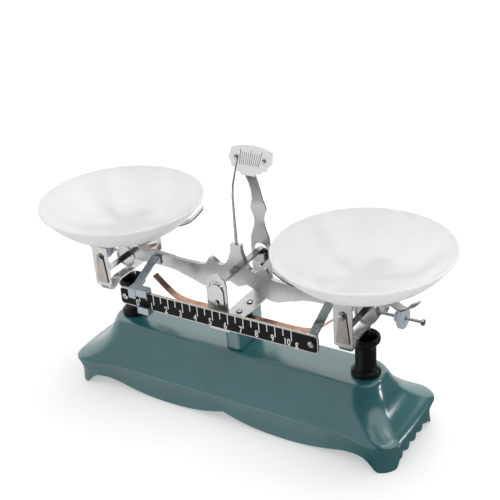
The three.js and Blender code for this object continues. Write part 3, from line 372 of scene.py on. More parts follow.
def bridge(form, rings):
    """Faces from each ring to the next. A ring of one point is the middle of a flat end."""
    for low, high in zip(rings, rings[1:]):
        for i in range(max(len(low), len(high))):
            j = i + 1
            corners = [low[i % len(low)], low[j % len(low)], high[j % len(high)], high[i % len(high)]]
            form.faces.new(list(dict.fromkeys(corners)))


def circle(form, radius, height, sides):
    """One plain ring of points."""
    return [form.verts.new((radius * math.cos(FULL * i / sides) * MM, radius * math.sin(FULL * i / sides) * MM,
                            height * MM)) for i in range(sides)]


def turned(profile, sides=96, wave=None):
    form = bmesh.new()
    rings = []
    for radius, height in profile:
        if radius == 0:
            rings.append([form.verts.new((0, 0, height * MM))])
            continue
        ring = []
        for i in range(sides):
            angle = FULL * i / sides
            reach = radius - (wave(angle, radius) if wave else 0)
            ring.append(form.verts.new((reach * MM * math.cos(angle), reach * MM * math.sin(angle), height * MM)))
        rings.append(ring)
    bridge(form, rings)
    return form


def stand(form, name, place, axis):
    """Turn a form made along Z so that it points along an axis, and stand it at a place."""
    turn = Vector((0, 0, 1)).rotation_difference(Vector(axis)).to_matrix().to_4x4()
    bmesh.ops.transform(form, matrix=Matrix.Translation(place) @ turn, verts=form.verts)
    return mesh_from(form, name)


print("lathe ready")

# %% [markdown]
# The pans are moulded dishes with a flat foot, a swept wall and a rolled lip. The swept wall is a smooth run
# through a few points, outside and inside, and the wall between them is under two millimetres thick.

# %% Pans
PAN_LOW, PAN_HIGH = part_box("left_pan")
PAN_R = (PAN_HIGH.x - PAN_LOW.x) / 2 / MM
PAN_DEEP = (PAN_HIGH.z - PAN_LOW.z) / MM
PAN_WALL = 1.8
WALL_IN, WALL_UP = 0.62 * PAN_WALL, 0.8 * PAN_WALL
LIP = 1.1
PAN_SIDES = 160
# Shares of the radius and of the depth, from the foot to the lip
SWEEP_SHARES = [(0.49, 0.0), (0.545, 0.022), (0.663, 0.155), (0.782, 0.358), (0.889, 0.608), (0.955, 0.824),
                (0.982, 0.94)]
FLOOR_SHARE, FOOT_FROM_SHARE, FOOT_TO_SHARE, FOOT_TALL = 0.4, 0.42, 0.47, 0.5
outer = smooth_run([(share * PAN_R, height * PAN_DEEP) for share, height in SWEEP_SHARES], 6)
inner = [(r - WALL_IN, z + WALL_UP) for r, z in reversed(outer)]
lip_arc = [math.radians(d) for d in range(130, -91, -20)]
lip = [(PAN_R - LIP + LIP * math.sin(a), PAN_DEEP - LIP + LIP * math.cos(a)) for a in lip_arc]
foot_ring = [(0, FOOT_TALL), (FLOOR_SHARE * PAN_R, FOOT_TALL), (FOOT_FROM_SHARE * PAN_R, 0.0),
             (FOOT_TO_SHARE * PAN_R, 0.0)]
pan_profile = foot_ring + outer + lip + inner + [(FLOOR_SHARE * PAN_R, WALL_UP), (0, WALL_UP)]
for side in SIDES:
    low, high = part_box(side + "_pan")
    place = Vector(((low.x + high.x) / 2, (low.y + high.y) / 2, low.z))
    mesh = stand(turned(pan_profile, PAN_SIDES), side + "_pan", place, (0, 0, 1))
    dress(side + "_pan", mesh, MILKY_PLASTIC, SOFT_CREASE)
print("pan", round(2 * PAN_R), "mm across")

# %% [markdown]
# The black sleeves are moulded tubes with a collar at the foot and a funnel at the top, which guide the legs
# into the base.

# %% Sleeves
SLEEVE_LOW, SLEEVE_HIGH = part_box("left_sleeve")
SLEEVE_R = (SLEEVE_HIGH.x - SLEEVE_LOW.x) / 2 / MM
SLEEVE_TALL = (SLEEVE_HIGH.z - SLEEVE_LOW.z) / MM
SLEEVE_SHARES = [(0.59, 0), (0.975, 0), (0.992, 0.01), (0.992, 0.08), (0.975, 0.095), (0.86, 0.125), (0.76, 0.165),
                 (0.722, 0.21), (0.705, 0.3), (0.702, 0.45), (0.704, 0.6), (0.715, 0.7), (0.75, 0.78), (0.85, 0.83),
                 (0.955, 0.855), (0.99, 0.89), (1.0, 0.935), (0.985, 0.975), (0.94, 0.997), (0.9, 1.0), (0.84, 0.99),
                 (0.78, 0.96), (0.71, 0.92), (0.64, 0.86), (0.6, 0.8), (0.59, 0.7), (0.59, 0)]
sleeve_profile = [(share * SLEEVE_R, height * SLEEVE_TALL) for share, height in SLEEVE_SHARES]
for side in SIDES:
    low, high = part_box(side + "_sleeve")
    place = Vector(((low.x + high.x) / 2, 0, low.z))
    mesh = stand(turned(sleeve_profile), side + "_sleeve", place, (0, 0, 1))
    dress(side + "_sleeve", mesh, BLACK_PLASTIC, SLEEVE_CREASE)
print("sleeve", round(SLEEVE_TALL, 1), "mm tall")

# %% [markdown]
# All screws are pan heads with a cross recess. The head is a low dome on a polar grid, and the recess is a cross
# pressed into it with sloping walls. Each screw is measured on its solid, so it sits where its solid sits.

# %% Screws
# Shares of the head's radius, but the dome and the rim's fall are shares of its height, and the slopes of the cross
# are in millimetres. Each screw's cross is turned a little on from the last one's, as no two are tightened alike.
HEAD_SHARE, SHANK_SHARE = 0.5, 0.42
DOME_SHARE, DOME_POWER = 0.5, 3.2
RIM_SHARE, RIM_FALL = 0.985, 0.62
CROSS_REACH, CROSS_WIDE, CROSS_DEEP = 0.56, 0.15, 0.27
CROSS_END_SLOPE, CROSS_SIDE_SLOPE = 0.35, 0.22
TURN_BETWEEN = 0.7


def measure_turned(node, axis):
    """The middle of a turned solid, its two ends along the axis, and its greatest radius."""
    places = np.array([v.co for v in NODES[node].data.vertices])
    middle = places.mean(0)
    along = (places - middle) @ np.array(axis)
    across = np.linalg.norm(places - middle - np.outer(along, axis), axis=1)
    return Vector(middle), along.min() / MM, along.max() / MM, across.max() / MM


def recess(x, y, reach, wide, deep):
    """How far a cross recess goes down at one place of the head."""
    def trough(u, v):
        ends = max(0.0, min(1.0, (reach - abs(u)) / CROSS_END_SLOPE))
        walls = max(0.0, min(1.0, (wide - abs(v)) / CROSS_SIDE_SLOPE))
        return deep * ends * walls
    return max(trough(x, y), trough(y, x))


def screw_form(foot, top, radius, turn, rings=22, sides=80):
    form = bmesh.new()
    head = radius * HEAD_SHARE
    shank = radius * SHANK_SHARE
    grid = []
    for k in range(rings + 1):
        r = radius * k / rings
        ring = []
        for i in range(sides if k else 1):
            angle = FULL * i / sides
            dome = top - head * DOME_SHARE * (r / radius) ** DOME_POWER
            x, y = r * math.cos(angle + turn), r * math.sin(angle + turn)
            deep = recess(x, y, radius * CROSS_REACH, radius * CROSS_WIDE, radius * CROSS_DEEP)
            ring.append(form.verts.new((r * math.cos(angle) * MM, r * math.sin(angle) * MM, (dome - deep) * MM)))
        grid.append(ring)
    for r, z in ((radius, top - head * RIM_FALL), (radius * RIM_SHARE, top - head), (shank, top - head),
                 (shank, foot)):
        grid.append(circle(form, r, z, sides))
    grid.append([form.verts.new((0, 0, foot * MM))])
    bridge(form, grid)
    return form


DIAL_LEAN = 0.46
dial_axis = (0, -math.cos(DIAL_LEAN), math.sin(DIAL_LEAN))
SCREW_WAYS = [("yoke", (0, 0, 1)), ("dial", dial_axis), ("rear", (0, 1, 0)), ("", (0, -1, 0))]
screw_nodes = [n for n in NODES if "screw" in n and "balance" not in n]
for count, node in enumerate(sorted(screw_nodes)):
    axis = next(way for word, way in SCREW_WAYS if word in node)
    middle, foot, top, radius = measure_turned(node, axis)
    form = screw_form(foot, top, radius, count * TURN_BETWEEN)
    dress(node, stand(form, node, middle, axis), SCREW_STEEL, SOFT_CREASE)
print("screws", len(screw_nodes))

# %% [markdown]
# The balance screws are threaded rods with a small cap, so that the nuts can't come off. The thread is a helix of
# 0.8 mm pitch, made by letting the depth of each point of a ring follow its turn round the rod.

# %% Thread of the balance screws
THREAD, THREAD_DEEP, THREAD_STEPS = 0.8, 0.14, 6
ROD_R, ROD_SIDES = 1.4, 24
CAP_LONG = 2.4
# Each row: how far the cap's outline lies inside its rim, and below its top
CAP_OUTLINE = [(0.2, CAP_LONG), (0, 2.1), (0, 0.7), (0.2, 0.25), (0.7, 0)]


def balance_screw_form(long, cap):
    form = bmesh.new()
    rings = [[form.verts.new((0, 0, 0))]]
    steps = int((long - CAP_LONG) / THREAD * THREAD_STEPS)
    for k in range(steps + 1):
        along = (long - CAP_LONG) * k / steps
        ring = []
        for i in range(ROD_SIDES):
            phase = (along / THREAD + i / ROD_SIDES) % 1.0
            r = ROD_R - THREAD_DEEP * (1 - abs(2 * phase - 1)) * (0 < k < steps)
            angle = FULL * i / ROD_SIDES
            ring.append(form.verts.new((r * math.cos(angle) * MM, r * math.sin(angle) * MM, along * MM)))
        rings.append(ring)
    rings += [circle(form, cap - inside, long - below, ROD_SIDES) for inside, below in CAP_OUTLINE]
    rings.append([form.verts.new((0, 0, long * MM))])
    bridge(form, rings)
    return form


print("thread", THREAD, "mm pitch")

# %% [markdown]
# A balance nut is turned from one bar: a plain hub towards the beam and a knurled disc outside, with a bevel on
# each side of the rim. The knurl is a wave of forty ridges round that rim, and the nut stands with its outer face
# where its solid has it.

# %% Balance screws and nuts
KNURLS, KNURL_DEEP, KNURL_EDGE = 40, 0.32, 0.1
POINTS_PER_KNURL = 6
NUT_BORE, NUT_HUB, HUB_LONG = 1.7, 4.6, 4.0
NUT_EASE, NUT_MOUTH = 0.4, 1.2
BEVEL_IN, BEVEL_ALONG = 0.9, 0.7


def balance_nut_form(rim, wide):
    def knurl(angle, radius):
        return KNURL_DEEP * (0.5 - 0.5 * math.cos(KNURLS * angle)) if radius > rim - KNURL_EDGE else 0.0
    profile = [(NUT_BORE, 0), (NUT_HUB - NUT_EASE, 0), (NUT_HUB, NUT_EASE), (NUT_HUB, HUB_LONG),
               (rim - BEVEL_IN, HUB_LONG), (rim, HUB_LONG + BEVEL_ALONG), (rim, wide - BEVEL_ALONG),
               (rim - BEVEL_IN, wide), (NUT_BORE + NUT_MOUTH, wide), (NUT_BORE, wide - NUT_EASE), (NUT_BORE, 0)]
    return turned([(r, z - wide) for r, z in profile], KNURLS * POINTS_PER_KNURL, knurl)


for side, sign in SIDES.items():
    screw, nut = side + "_balance_screw", side + "_balance_nut"
    low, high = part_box(screw)
    inside = Vector((low.x if sign > 0 else high.x, 0, (low.z + high.z) / 2))
    form = balance_screw_form((high.x - low.x) / MM, (high.z - low.z) / 2 / MM)
    dress(screw, stand(form, screw, inside, (sign, 0, 0)), SCREW_STEEL, FINE_CREASE)
    low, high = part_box(nut)
    outside = Vector((high.x if sign > 0 else low.x, 0, (low.z + high.z) / 2))
    form = balance_nut_form((high.z - low.z) / 2 / MM, (high.x - low.x) / MM)
    dress(nut, stand(form, nut, outside, (sign, 0, 0)), CLEAR_ZINC, FINE_CREASE)
print("balance screws and nuts", 2 * len(SIDES))

# %% [markdown]
# The base is one iron casting, open below. A ring runs round it at every height, and each ring has its own length,
# width and corner radius. First come the sizes: the rows of the apron below the ledge and of the cove above it,
# and the hem, which is cut in two lobes on each long side and in lobes between the feet at each end.

# %% Sizes of the base
BASE_LOW, BASE_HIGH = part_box("base_casing")
BASE_HALF_X = (BASE_HIGH.x - BASE_LOW.x) / 2 / MM
BASE_HALF_Y = 50.0
PLATEAU_Z = BASE_HIGH.z / MM
PLATEAU_HALF_Y = 20.0
END_FLARE = 31.9
SIDE_FLARE = BASE_HALF_Y - PLATEAU_HALF_Y
LEDGE_Z = 25.0
LEDGE_RISE = 1.0
BASE_WALL = 3.0
WAIST = 5.2
WAIST_FROM, WAIST_TO = 0.66, 0.93
FLUTES = 7
FLUTE_DEEP = 2.6
# Each row: share of the end flare, share of the side flare, corner, height, waist and flute shares
APRON_ROWS = [(0.025, 0.05, 0.37, 0, 0.95, 0.7), (0.045, 0.06, 0.36, 0.2, 0.97, 1), (0.065, 0.06, 0.35, 0.45, 1, 1),
              (0.045, 0.035, 0.34, 0.7, 1, 0.9), (0.01, 0.008, 0.32, 0.88, 1, 0.3), (0, 0, 0.31, 1, 1, 0)]
COVE_ROWS = [(0.1, 0.067, 0.33, 0.08, 0.95, 0), (0.3, 0.19, 0.4, 0.165, 0.8, 0), (0.55, 0.36, 0.53, 0.315, 0.6, 0),
             (0.73, 0.547, 0.68, 0.52, 0.4, 0), (0.825, 0.727, 0.79, 0.74, 0.2, 0),
             (0.885, 0.853, 0.85, 0.904, 0.08, 0), (0.94, 0.933, 0.88, 0.98, 0, 0), (1, 1, 0.89, 1, 0, 0)]
# Each pair: a share of the half length, or of the half width, and how far up to the ledge the hem is cut there
HEM_LIFT = [(0, 0.42), (0.09, 0.25), (0.17, 0.145), (0.25, 0.085), (0.34, 0.06), (0.41, 0.06), (0.5, 0.1),
            (0.58, 0.17), (0.66, 0.275), (0.73, 0.39), (0.8, 0.45), (0.85, 0.4), (0.885, 0.22), (0.915, 0.03),
            (0.94, 0), (1.2, 0)]
END_HEM_LIFT = [(0, 0.24), (0.55, 0.24), (0.63, 0.2), (0.69, 0.03), (0.72, 0), (1.2, 0)]
SCALLOP_DEEP = 1.6
FOOT_FROM, FOOT_TO = 0.6, 0.7
LEDGE_BOW = 2.6
RIB_PITCH, RIB_DEEP, RIB_TOP = 4.6, 1.0, 14
RIB_FROM, RIB_TO = 0.85, 0.935
LEG_HOLE_R = 7.2
print("base rows", len(APRON_ROWS) + len(COVE_ROWS))

# %% [markdown]
# The rows hold shares, so they are turned to millimetres and joined by a smooth run, which leaves no facets in the
# cove. The height of the hem comes off a table too, and is read along a smooth curve through its points.

# %% Rows and hem
def run(value, start, end):
    """From 0 to 1, as smoothly as it goes, while the value goes from start to end."""
    share = min(1, max(0, (value - start) / (end - start)))
    return share * share * (3 - 2 * share)


def full_row(end, side, corner, height, waist, flute, low, high):
    """One row of shares in millimetres, with its height between two others."""
    return (end * END_FLARE, side * SIDE_FLARE, corner * (BASE_HALF_Y - side * SIDE_FLARE),
            low + (high - low) * height, waist, flute)


BASE_ROWS = ([full_row(*row, 0, LEDGE_Z) for row in APRON_ROWS]
             + [full_row(*row, LEDGE_Z, PLATEAU_Z) for row in COVE_ROWS])


def look_up(table, distance):
    """A height off a table of distance and height, along a smooth run through its points."""
    for i in range(1, len(table)):
        if distance <= table[i][0]:
            (d0, h0), (d1, h1) = table[i - 1], table[i]
            before = table[i - 2] if i > 1 else (2 * d0 - d1, 2 * h0 - h1)
            after = table[i + 1] if i + 1 < len(table) else (2 * d1 - d0, h1)
            t = (distance - d0) / (d1 - d0)
            m0 = (h1 - before[1]) / (d1 - before[0]) * (d1 - d0)
            m1 = (after[1] - h0) / (after[0] - d0) * (d1 - d0)
            return ((2 * t ** 3 - 3 * t * t + 1) * h0 + (t ** 3 - 2 * t * t + t) * m0
                    + (3 * t * t - 2 * t ** 3) * h1 + (t ** 3 - t * t) * m1)
    return table[-1][1]


print("hem at the middle", round(LEDGE_Z * look_up(HEM_LIFT, 0), 1), "mm up")

# %% [markdown]
# One ring of the base is a rounded rectangle with the casting's own forms laid over it: the long sides drawn in at
# the waist, flutes and lobes on the end skirts, a bow in the ledge's ends, and fine ribs inside the feet.

# %% One ring of the base
RING_DENSITY = 10
LONG_SIDE_STEPS, END_STEPS = 8, 6
CORNER_SPARE = 0.5
BOW_FROM, BOW_BELOW_TOP = 8, 6
RIB_FADE = 0.02


def ring_places(half_x, half_y, corner, density):
    """Places round a rounded rectangle, even along each corner and each side, from the rear right corner on."""
    corners = ((half_x - corner, half_y - corner, 0), (corner - half_x, half_y - corner, 1),
               (corner - half_x, corner - half_y, 2), (half_x - corner, corner - half_y, 3))
    places = []
    for cx, cy, turn in corners:
        for i in range(density):
            angle = (turn + i / density) * FULL / 4
            places.append((cx + corner * math.cos(angle), cy + corner * math.sin(angle)))
        nx, ny, _ = corners[(turn + 1) % 4]
        angle = (turn + 1) * FULL / 4
        start = (cx + corner * math.cos(angle), cy + corner * math.sin(angle))
        end = (nx + corner * math.cos(angle), ny + corner * math.sin(angle))
        steps = density * (LONG_SIDE_STEPS if turn % 2 == 0 else END_STEPS)
        for i in range(steps):
            share = i / steps
            places.append((start[0] + (end[0] - start[0]) * share, start[1] + (end[1] - start[1]) * share))
    return places


def base_ring(row, inset, density):
    end_in, side_in, corner, z, waist, flute = row
    a, b = BASE_HALF_X - end_in - inset, BASE_HALF_Y - side_in - inset
    r = min(max(corner - inset, BASE_WALL / 2), b - CORNER_SPARE)
    ring = []
    for x, y in ring_places(a, b, r, density):
        along = abs(x) / BASE_HALF_X
        middle = 1 - run(along, WAIST_FROM, WAIST_TO)
        pinch = WAIST * waist * middle
        end_share = max(0, (abs(x) - (a - r)) / r)
        skirt = end_share * (1 - run(abs(y) / b, FOOT_FROM, FOOT_TO))
        groove = 1 - abs(math.cos(FLUTES * math.pi * y / (2 * b)))
        bow = LEDGE_BOW * end_share ** 2 * (1 - (y / b) ** 2)
        bow *= min(run(z, BOW_FROM, LEDGE_Z), 1 - run(z, LEDGE_Z, PLATEAU_Z - BOW_BELOW_TOP))
        wave = FLUTE_DEEP * flute * skirt * groove - bow
        rib = RIB_DEEP * (0.5 - 0.5 * math.cos(FULL * z / RIB_PITCH)) * (z < RIB_TOP) * (1 - end_share)
        rib *= run(along, RIB_FROM, RIB_FROM + RIB_FADE) * (1 - run(along, RIB_TO, RIB_TO + RIB_FADE))
        hem = LEDGE_Z * max(0, look_up(HEM_LIFT, along))
        end_hem = LEDGE_Z * max(0, look_up(END_HEM_LIFT, abs(y) / BASE_HALF_Y))
        lift = max(end_hem, hem * (1 - end_share)) if abs(x) > a - r else hem
        ledge = LEDGE_RISE * middle * min(1, z / LEDGE_Z, (PLATEAU_Z - z) / (PLATEAU_Z - LEDGE_Z))
        floor = (lift + SCALLOP_DEEP * skirt * groove) * max(0, 1 - z / LEDGE_Z)
        drop = inset * min(1, z / PLATEAU_Z) ** 2
        ring.append((x - wave * (1 if x > 0 else -1), y * (1 - (pinch + rib) / b), z + floor + ledge - drop))
    return ring


print("points in a ring", len(base_ring(BASE_ROWS[0], 0, RING_DENSITY)))

# %% [markdown]
# The casting is a wall of rings, down the inside and up the outside, closed by one face under the plateau and one
# on it. The two holes for the legs are drilled after casting, so they are cut with a boolean.

# %% Base casting
OUTER_STEPS, INNER_STEPS = 4, 2
DRILL_SIDES = 64
DRILL_DEEP = 4 * BASE_WALL

outer_rings = [base_ring(row, 0, RING_DENSITY) for row in smooth_run(BASE_ROWS, OUTER_STEPS)]
inner_rings = [base_ring(row, BASE_WALL, RING_DENSITY) for row in smooth_run(BASE_ROWS, INNER_STEPS)]
form = bmesh.new()
rings = [[form.verts.new(Vector(p) * MM) for p in ring] for ring in list(reversed(inner_rings)) + outer_rings]
bridge(form, rings)
form.faces.new(list(reversed(rings[0])))
form.faces.new(rings[-1])
base = dress("base_casing", mesh_from(form, "base_casting"), ENAMEL, FINE_CREASE)

ARM_X = (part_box("right_sleeve")[0].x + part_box("right_sleeve")[1].x) / 2 / MM
drill = bmesh.new()
for sign in SIDES.values():
    place = Matrix.Translation((sign * ARM_X * MM, 0, PLATEAU_Z * MM))
    bmesh.ops.create_cone(drill, cap_ends=True, segments=DRILL_SIDES, radius1=LEG_HOLE_R * MM,
                          radius2=LEG_HOLE_R * MM, depth=DRILL_DEEP * MM, matrix=place)
drill_piece = bpy.data.objects.new("drill", mesh_from(drill, "drill"))
bpy.context.scene.collection.objects.link(drill_piece)
cutter = base.modifiers.new("leg_holes", "BOOLEAN")
cutter.object = drill_piece
cutter.solver = "EXACT"
drilled = bpy.data.meshes.new_from_object(base.evaluated_get(bpy.context.evaluated_depsgraph_get()))
base.modifiers.clear()
base.data = drilled
base.data.shade_smooth()
base.data.set_sharp_from_angle(angle=math.radians(FINE_CREASE))
bpy.data.objects.remove(drill_piece)
print("base", round(2 * BASE_HALF_X), "by", round(2 * BASE_HALF_Y), "mm,", len(base.data.polygons), "faces")

# %% [markdown]
# The scale bar is a pale plate with a black printed panel, which leaves a pale line all round. Ink is flat and has
# clean outlines, so each printed form is a closed curve, filled and turned to a thin mesh. It lies a few hundredths
# of a millimetre proud of the plate.

# %% Black panel of the scale
BAR_LOW, BAR_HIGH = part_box("scale_bar")
BAR_FACE = BAR_LOW.y / MM
BAR_TOP, BAR_FOOT = BAR_HIGH.z / MM, BAR_LOW.z / MM
BAR_HALF = BAR_HIGH.x / MM
BAR_CORNER = 3.4
PALE_LINE = 0.9
PANEL_TOP, PANEL_FOOT = BAR_TOP - PALE_LINE, BAR_FOOT + PALE_LINE
SCREW_CLEAR = 1.8
INK = 0.05


def ink_shape(name, outlines):
    """A thin flat shape of ink in the XZ plane, from closed outlines; an outline inside another is a hole."""
    shape = bpy.data.curves.new(name, "CURVE")
    shape.dimensions = "2D"
    shape.fill_mode = "BOTH"
    shape.extrude = INK * MM / 2
    for points in outlines:
        line = shape.splines.new("POLY")
        line.points.add(len(points) - 1)
        for place, (u, v) in zip(line.points, points):
            place.co = (u * MM, v * MM, 0, 1)
        line.use_cyclic_u = True
    holder = bpy.data.objects.new(name, shape)
    bpy.context.scene.collection.objects.link(holder)
    bpy.context.view_layer.update()
    mesh = bpy.data.meshes.new_from_object(holder)
    bpy.data.objects.remove(holder)
    mesh.transform(Matrix.Rotation(FULL / 4, 4, "X"))
    form = bmesh.new()
    form.from_mesh(mesh)
    bmesh.ops.remove_doubles(form, verts=form.verts, dist=WELD * MM)
    return mesh_from(form, name)


def round_outline(u, v, radius, count=32):
    return [(u + radius * math.cos(FULL * i / count), v + radius * math.sin(FULL * i / count)) for i in range(count)]


def panel_outline(half_u, low, high, corner, steps=8):
    centres = ((half_u - corner, high - corner), (corner - half_u, high - corner), (corner - half_u, low + corner),
               (half_u - corner, low + corner))
    points = []
    for turn, (u, v) in enumerate(centres):
        for i in range(steps + 1):
            angle = (turn + i / steps) * FULL / 4
            points.append((u + corner * math.cos(angle), v + corner * math.sin(angle)))
    return points


screw_places = [measure_turned(side + "_scale_screw", (0, -1, 0))[0] / MM for side in SIDES]
outlines = [panel_outline(BAR_HALF - PALE_LINE, PANEL_FOOT, PANEL_TOP, BAR_CORNER - PALE_LINE)]
outlines += [round_outline(middle.x, middle.z, SCREW_CLEAR) for middle in screw_places]
panel = ink_shape("scale_panel", outlines)
panel.transform(Matrix.Translation((0, (BAR_FACE - INK / 2) * MM, 0)))
add_piece("scale_panel", panel, BLACK_INK, "beam")
print("panel", round(PANEL_TOP - PANEL_FOOT, 1), "mm tall")

# %% [markdown]
# The marks are white: a long one for every gram and a short one for every half gram, all hung from the panel's top.
# White ink is printed over the black, so it lies one more layer proud.

# %% Marks of the scale
ZERO_X = -78.6
GRAM = 15.4
GRAMS = 10
LONG_MARK, SHORT_MARK, MARK_HALF = 0.64, 0.43, 0.45
WHITE_Y = BAR_FACE - 1.5 * INK
strips = []
for half_grams in range(2 * GRAMS + 1):
    x = ZERO_X + GRAM * half_grams / 2
    share = LONG_MARK if half_grams % 2 == 0 else SHORT_MARK
    foot = PANEL_TOP - share * (PANEL_TOP - PANEL_FOOT)
    left, right = x - MARK_HALF, x + MARK_HALF
    strips.append([(left, foot), (right, foot), (right, PANEL_TOP), (left, PANEL_TOP)])
marks = ink_shape("scale_marks", strips)
marks.transform(Matrix.Translation((0, WHITE_Y * MM, 0)))
add_piece("scale_marks", marks, WHITE_INK, "beam")
print("scale", GRAMS, "g, marks", 2 * GRAMS + 1)

# %% [markdown]
# Each number stands low and to the left of its mark, and the unit follows the last one. Text objects do this well:
# they hold the outline of a narrow, slightly bold face, and they ride on the beam like any piece.

# %% Numbers of the scale
DIGIT_TALL, DIGIT_NARROW, DIGIT_BOLD = 6.4, 0.72, 0.2
DIGIT_PART_OF_SIZE, UNIT_TO_DIGIT = 0.7, 1.45
DIGIT_SIZE, DIGIT_SHIFT, DIGIT_UP = DIGIT_TALL / DIGIT_PART_OF_SIZE, -1.1, 0.7
UNIT_SIZE, UNIT_SHIFT, UNIT_UP = DIGIT_TALL * UNIT_TO_DIGIT, 6.2, 1.2
labels = [(str(n), n, DIGIT_SIZE, DIGIT_SHIFT, DIGIT_UP) for n in range(GRAMS + 1)]
labels.append(("g", GRAMS, UNIT_SIZE, UNIT_SHIFT, UNIT_UP))
for text, grams, size, shift, lift in labels:
    letters = bpy.data.curves.new("scale_number", "FONT")
    letters.body = text
    letters.size = size * MM
    letters.align_x = "RIGHT"
    letters.extrude = INK * MM / 2
    letters.offset = DIGIT_BOLD * MM
    letters.materials.append(WHITE_INK)
    digit = bpy.data.objects.new(f"scale_number_{text}", letters)
    bpy.context.scene.collection.objects.link(digit)
    digit.rotation_euler = (FULL / 4, 0, 0)
    digit.scale = (DIGIT_NARROW, 1, 1)
    digit.location = ((ZERO_X + GRAM * grams + shift) * MM, WHITE_Y * MM, (PANEL_FOOT + lift) * MM)
    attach(digit, "beam")
print("numbers", len(labels))

# %% [markdown]
# The dial leans back a little on the end of its arm. Its graduation is eleven fine lines that fan out from the
# pointer's pivot, with the middle one and the two end ones longer.

# %% Graduation of the dial
DIAL_TURN = Matrix.Rotation(-DIAL_LEAN, 4, "X")
dial_points = [DIAL_TURN.inverted() @ v.co for v in NODES["dial_plate"].data.vertices]
dial_face = min(p.y for p in dial_points)
dial_foot = min(p.z for p in dial_points) / MM
dial_middle = (min(p.x for p in dial_points) + max(p.x for p in dial_points)) / 2 / MM
DIAL_LINES = 11
DIAL_PITCH = 2.0
PIVOT_BELOW = 95
LINE_FOOT, LONG_HEAD, SHORT_HEAD = 8.6, 21.4, 19.2
LONG_HALF, SHORT_HALF = 0.26, 0.2
FAN_REACH = 6
lines = []
for k in range(DIAL_LINES):
    u = (k - (DIAL_LINES - 1) / 2) * DIAL_PITCH
    long = k in (0, DIAL_LINES // 2, DIAL_LINES - 1)
    low, high = dial_foot + LINE_FOOT, dial_foot + (LONG_HEAD if long else SHORT_HEAD)
    wide = LONG_HALF if long else SHORT_HALF
    fan = FAN_REACH * u / PIVOT_BELOW
    foot_u, head_u = dial_middle + u - fan, dial_middle + u + fan
    lines.append([(foot_u - wide, low), (foot_u + wide, low), (head_u + wide, high), (head_u - wide, high)])
graduation = ink_shape("dial_graduation", lines)
graduation.transform(Matrix.Translation((0, dial_face - INK * MM / 2, 0)))
graduation.transform(DIAL_TURN)
add_piece("dial_graduation", graduation, BLACK_INK, BODY_OF["dial_plate"])
print("dial lines", DIAL_LINES)

# %% [markdown]
# A plain studio for one small, glossy thing. To the eye it is white all round, and matt surfaces get an even fill
# from every side. Gloss enamel and bright nickel have little look of their own, so most of what they show is what
# they mirror: white behind and to the left, grey on the photographer's side, dark on the right and straight
# overhead, and one pale panel high on the right. Only glossy rays see these sides.

# %% Room
# Each side: where it begins and ends along its way, and its level before and after that
ROOM_ABOVE = (0.78, 0.88, 1.0, 0.08)
ROOM_FRONT = (-0.35, 0.1, 0.43, 1.0)
ROOM_RIGHT = (0.0, 0.14, 1.0, 0.03)
ROOM_PANEL = (0.84, 0.93, 0.0, 0.85)
ROOM_RIGHT_WAY = (1.0, -0.25, 0.1)
ROOM_PANEL_WAY = (0.45, 0.15, 0.88)
RANGE_SOCKETS = ("From Min", "From Max", "To Min", "To Max")
ROOM_FILL = 0.8
WHITE = (1.0, 1.0, 1.0, 1.0)
world = bpy.data.worlds.new("studio")
world.use_nodes = True
room = world.node_tree
room.nodes.clear()
towards = add_node(room, "ShaderNodeTexCoord").outputs["Generated"]
parts = add_node(room, "ShaderNodeSeparateXYZ", {"Vector": towards})
right_side = add_node(room, "ShaderNodeVectorMath", {0: towards, 1: ROOM_RIGHT_WAY}, operation="DOT_PRODUCT")
panel_side = add_node(room, "ShaderNodeVectorMath", {0: towards, 1: ROOM_PANEL_WAY}, operation="DOT_PRODUCT")
levels = []
for way, side in ((parts.outputs["Z"], ROOM_ABOVE), (parts.outputs["Y"], ROOM_FRONT),
                  (right_side.outputs["Value"], ROOM_RIGHT), (panel_side.outputs["Value"], ROOM_PANEL)):
    level = add_node(room, "ShaderNodeMapRange", {"Value": way, **dict(zip(RANGE_SOCKETS, side))},
                     interpolation_type="SMOOTHSTEP")
    levels.append(level.outputs["Result"])
shown = levels[0]
for level, choice in zip(levels[1:], ("MINIMUM", "MINIMUM", "MAXIMUM")):
    shown = add_node(room, "ShaderNodeMath", {0: shown, 1: level}, operation=choice).outputs[0]
path = add_node(room, "ShaderNodeLightPath")
straight = add_node(room, "ShaderNodeMath", {
    0: path.outputs["Is Camera Ray"], 1: path.outputs["Is Transmission Ray"]}, operation="MAXIMUM")
mirrored = add_node(room, "ShaderNodeMapRange", {
    "Value": path.outputs["Is Glossy Ray"], "To Min": ROOM_FILL, "To Max": shown})
strength = add_node(room, "ShaderNodeMapRange", {
    "Value": straight.outputs[0], "To Min": mirrored.outputs["Result"], "To Max": 1.0})
sky = add_node(room, "ShaderNodeBackground", {"Color": WHITE, "Strength": strength.outputs["Result"]})
add_node(room, "ShaderNodeOutputWorld", {"Surface": sky.outputs[0]})
bpy.context.scene.world = world
print("room ready")

# %% [markdown]
# A large soft box overhead gives the soft shadow, and two small ones far out on the right give the short bright
# highlights on that end of the base and on the round metal. All three face the foot of the pillar.

# %% Lamps
AIM = Vector((0, 0, 0.1))


def softbox(name, at, size, power):
    lamp = bpy.data.lights.new(name, "AREA")
    lamp.shape = "RECTANGLE"
    lamp.size, lamp.size_y = size
    lamp.energy = power
    box = bpy.data.objects.new(name, lamp)
    bpy.context.scene.collection.objects.link(box)
    box.location = at
    box.rotation_euler = (AIM - Vector(at)).to_track_quat("-Z", "Y").to_euler()


# Each lamp: its place and its size in metres, and its power in watts
softbox("top_softbox", (0.05, 0.3, 1.6), (1.1, 1.1), 7)
softbox("right_lamp", (1.13, 0.47, 0.06), (0.18, 0.12), 0.8)
softbox("back_right_lamp", (0.9, 0.76, 0.58), (0.2, 0.2), 0.9)
print("lamps ready")
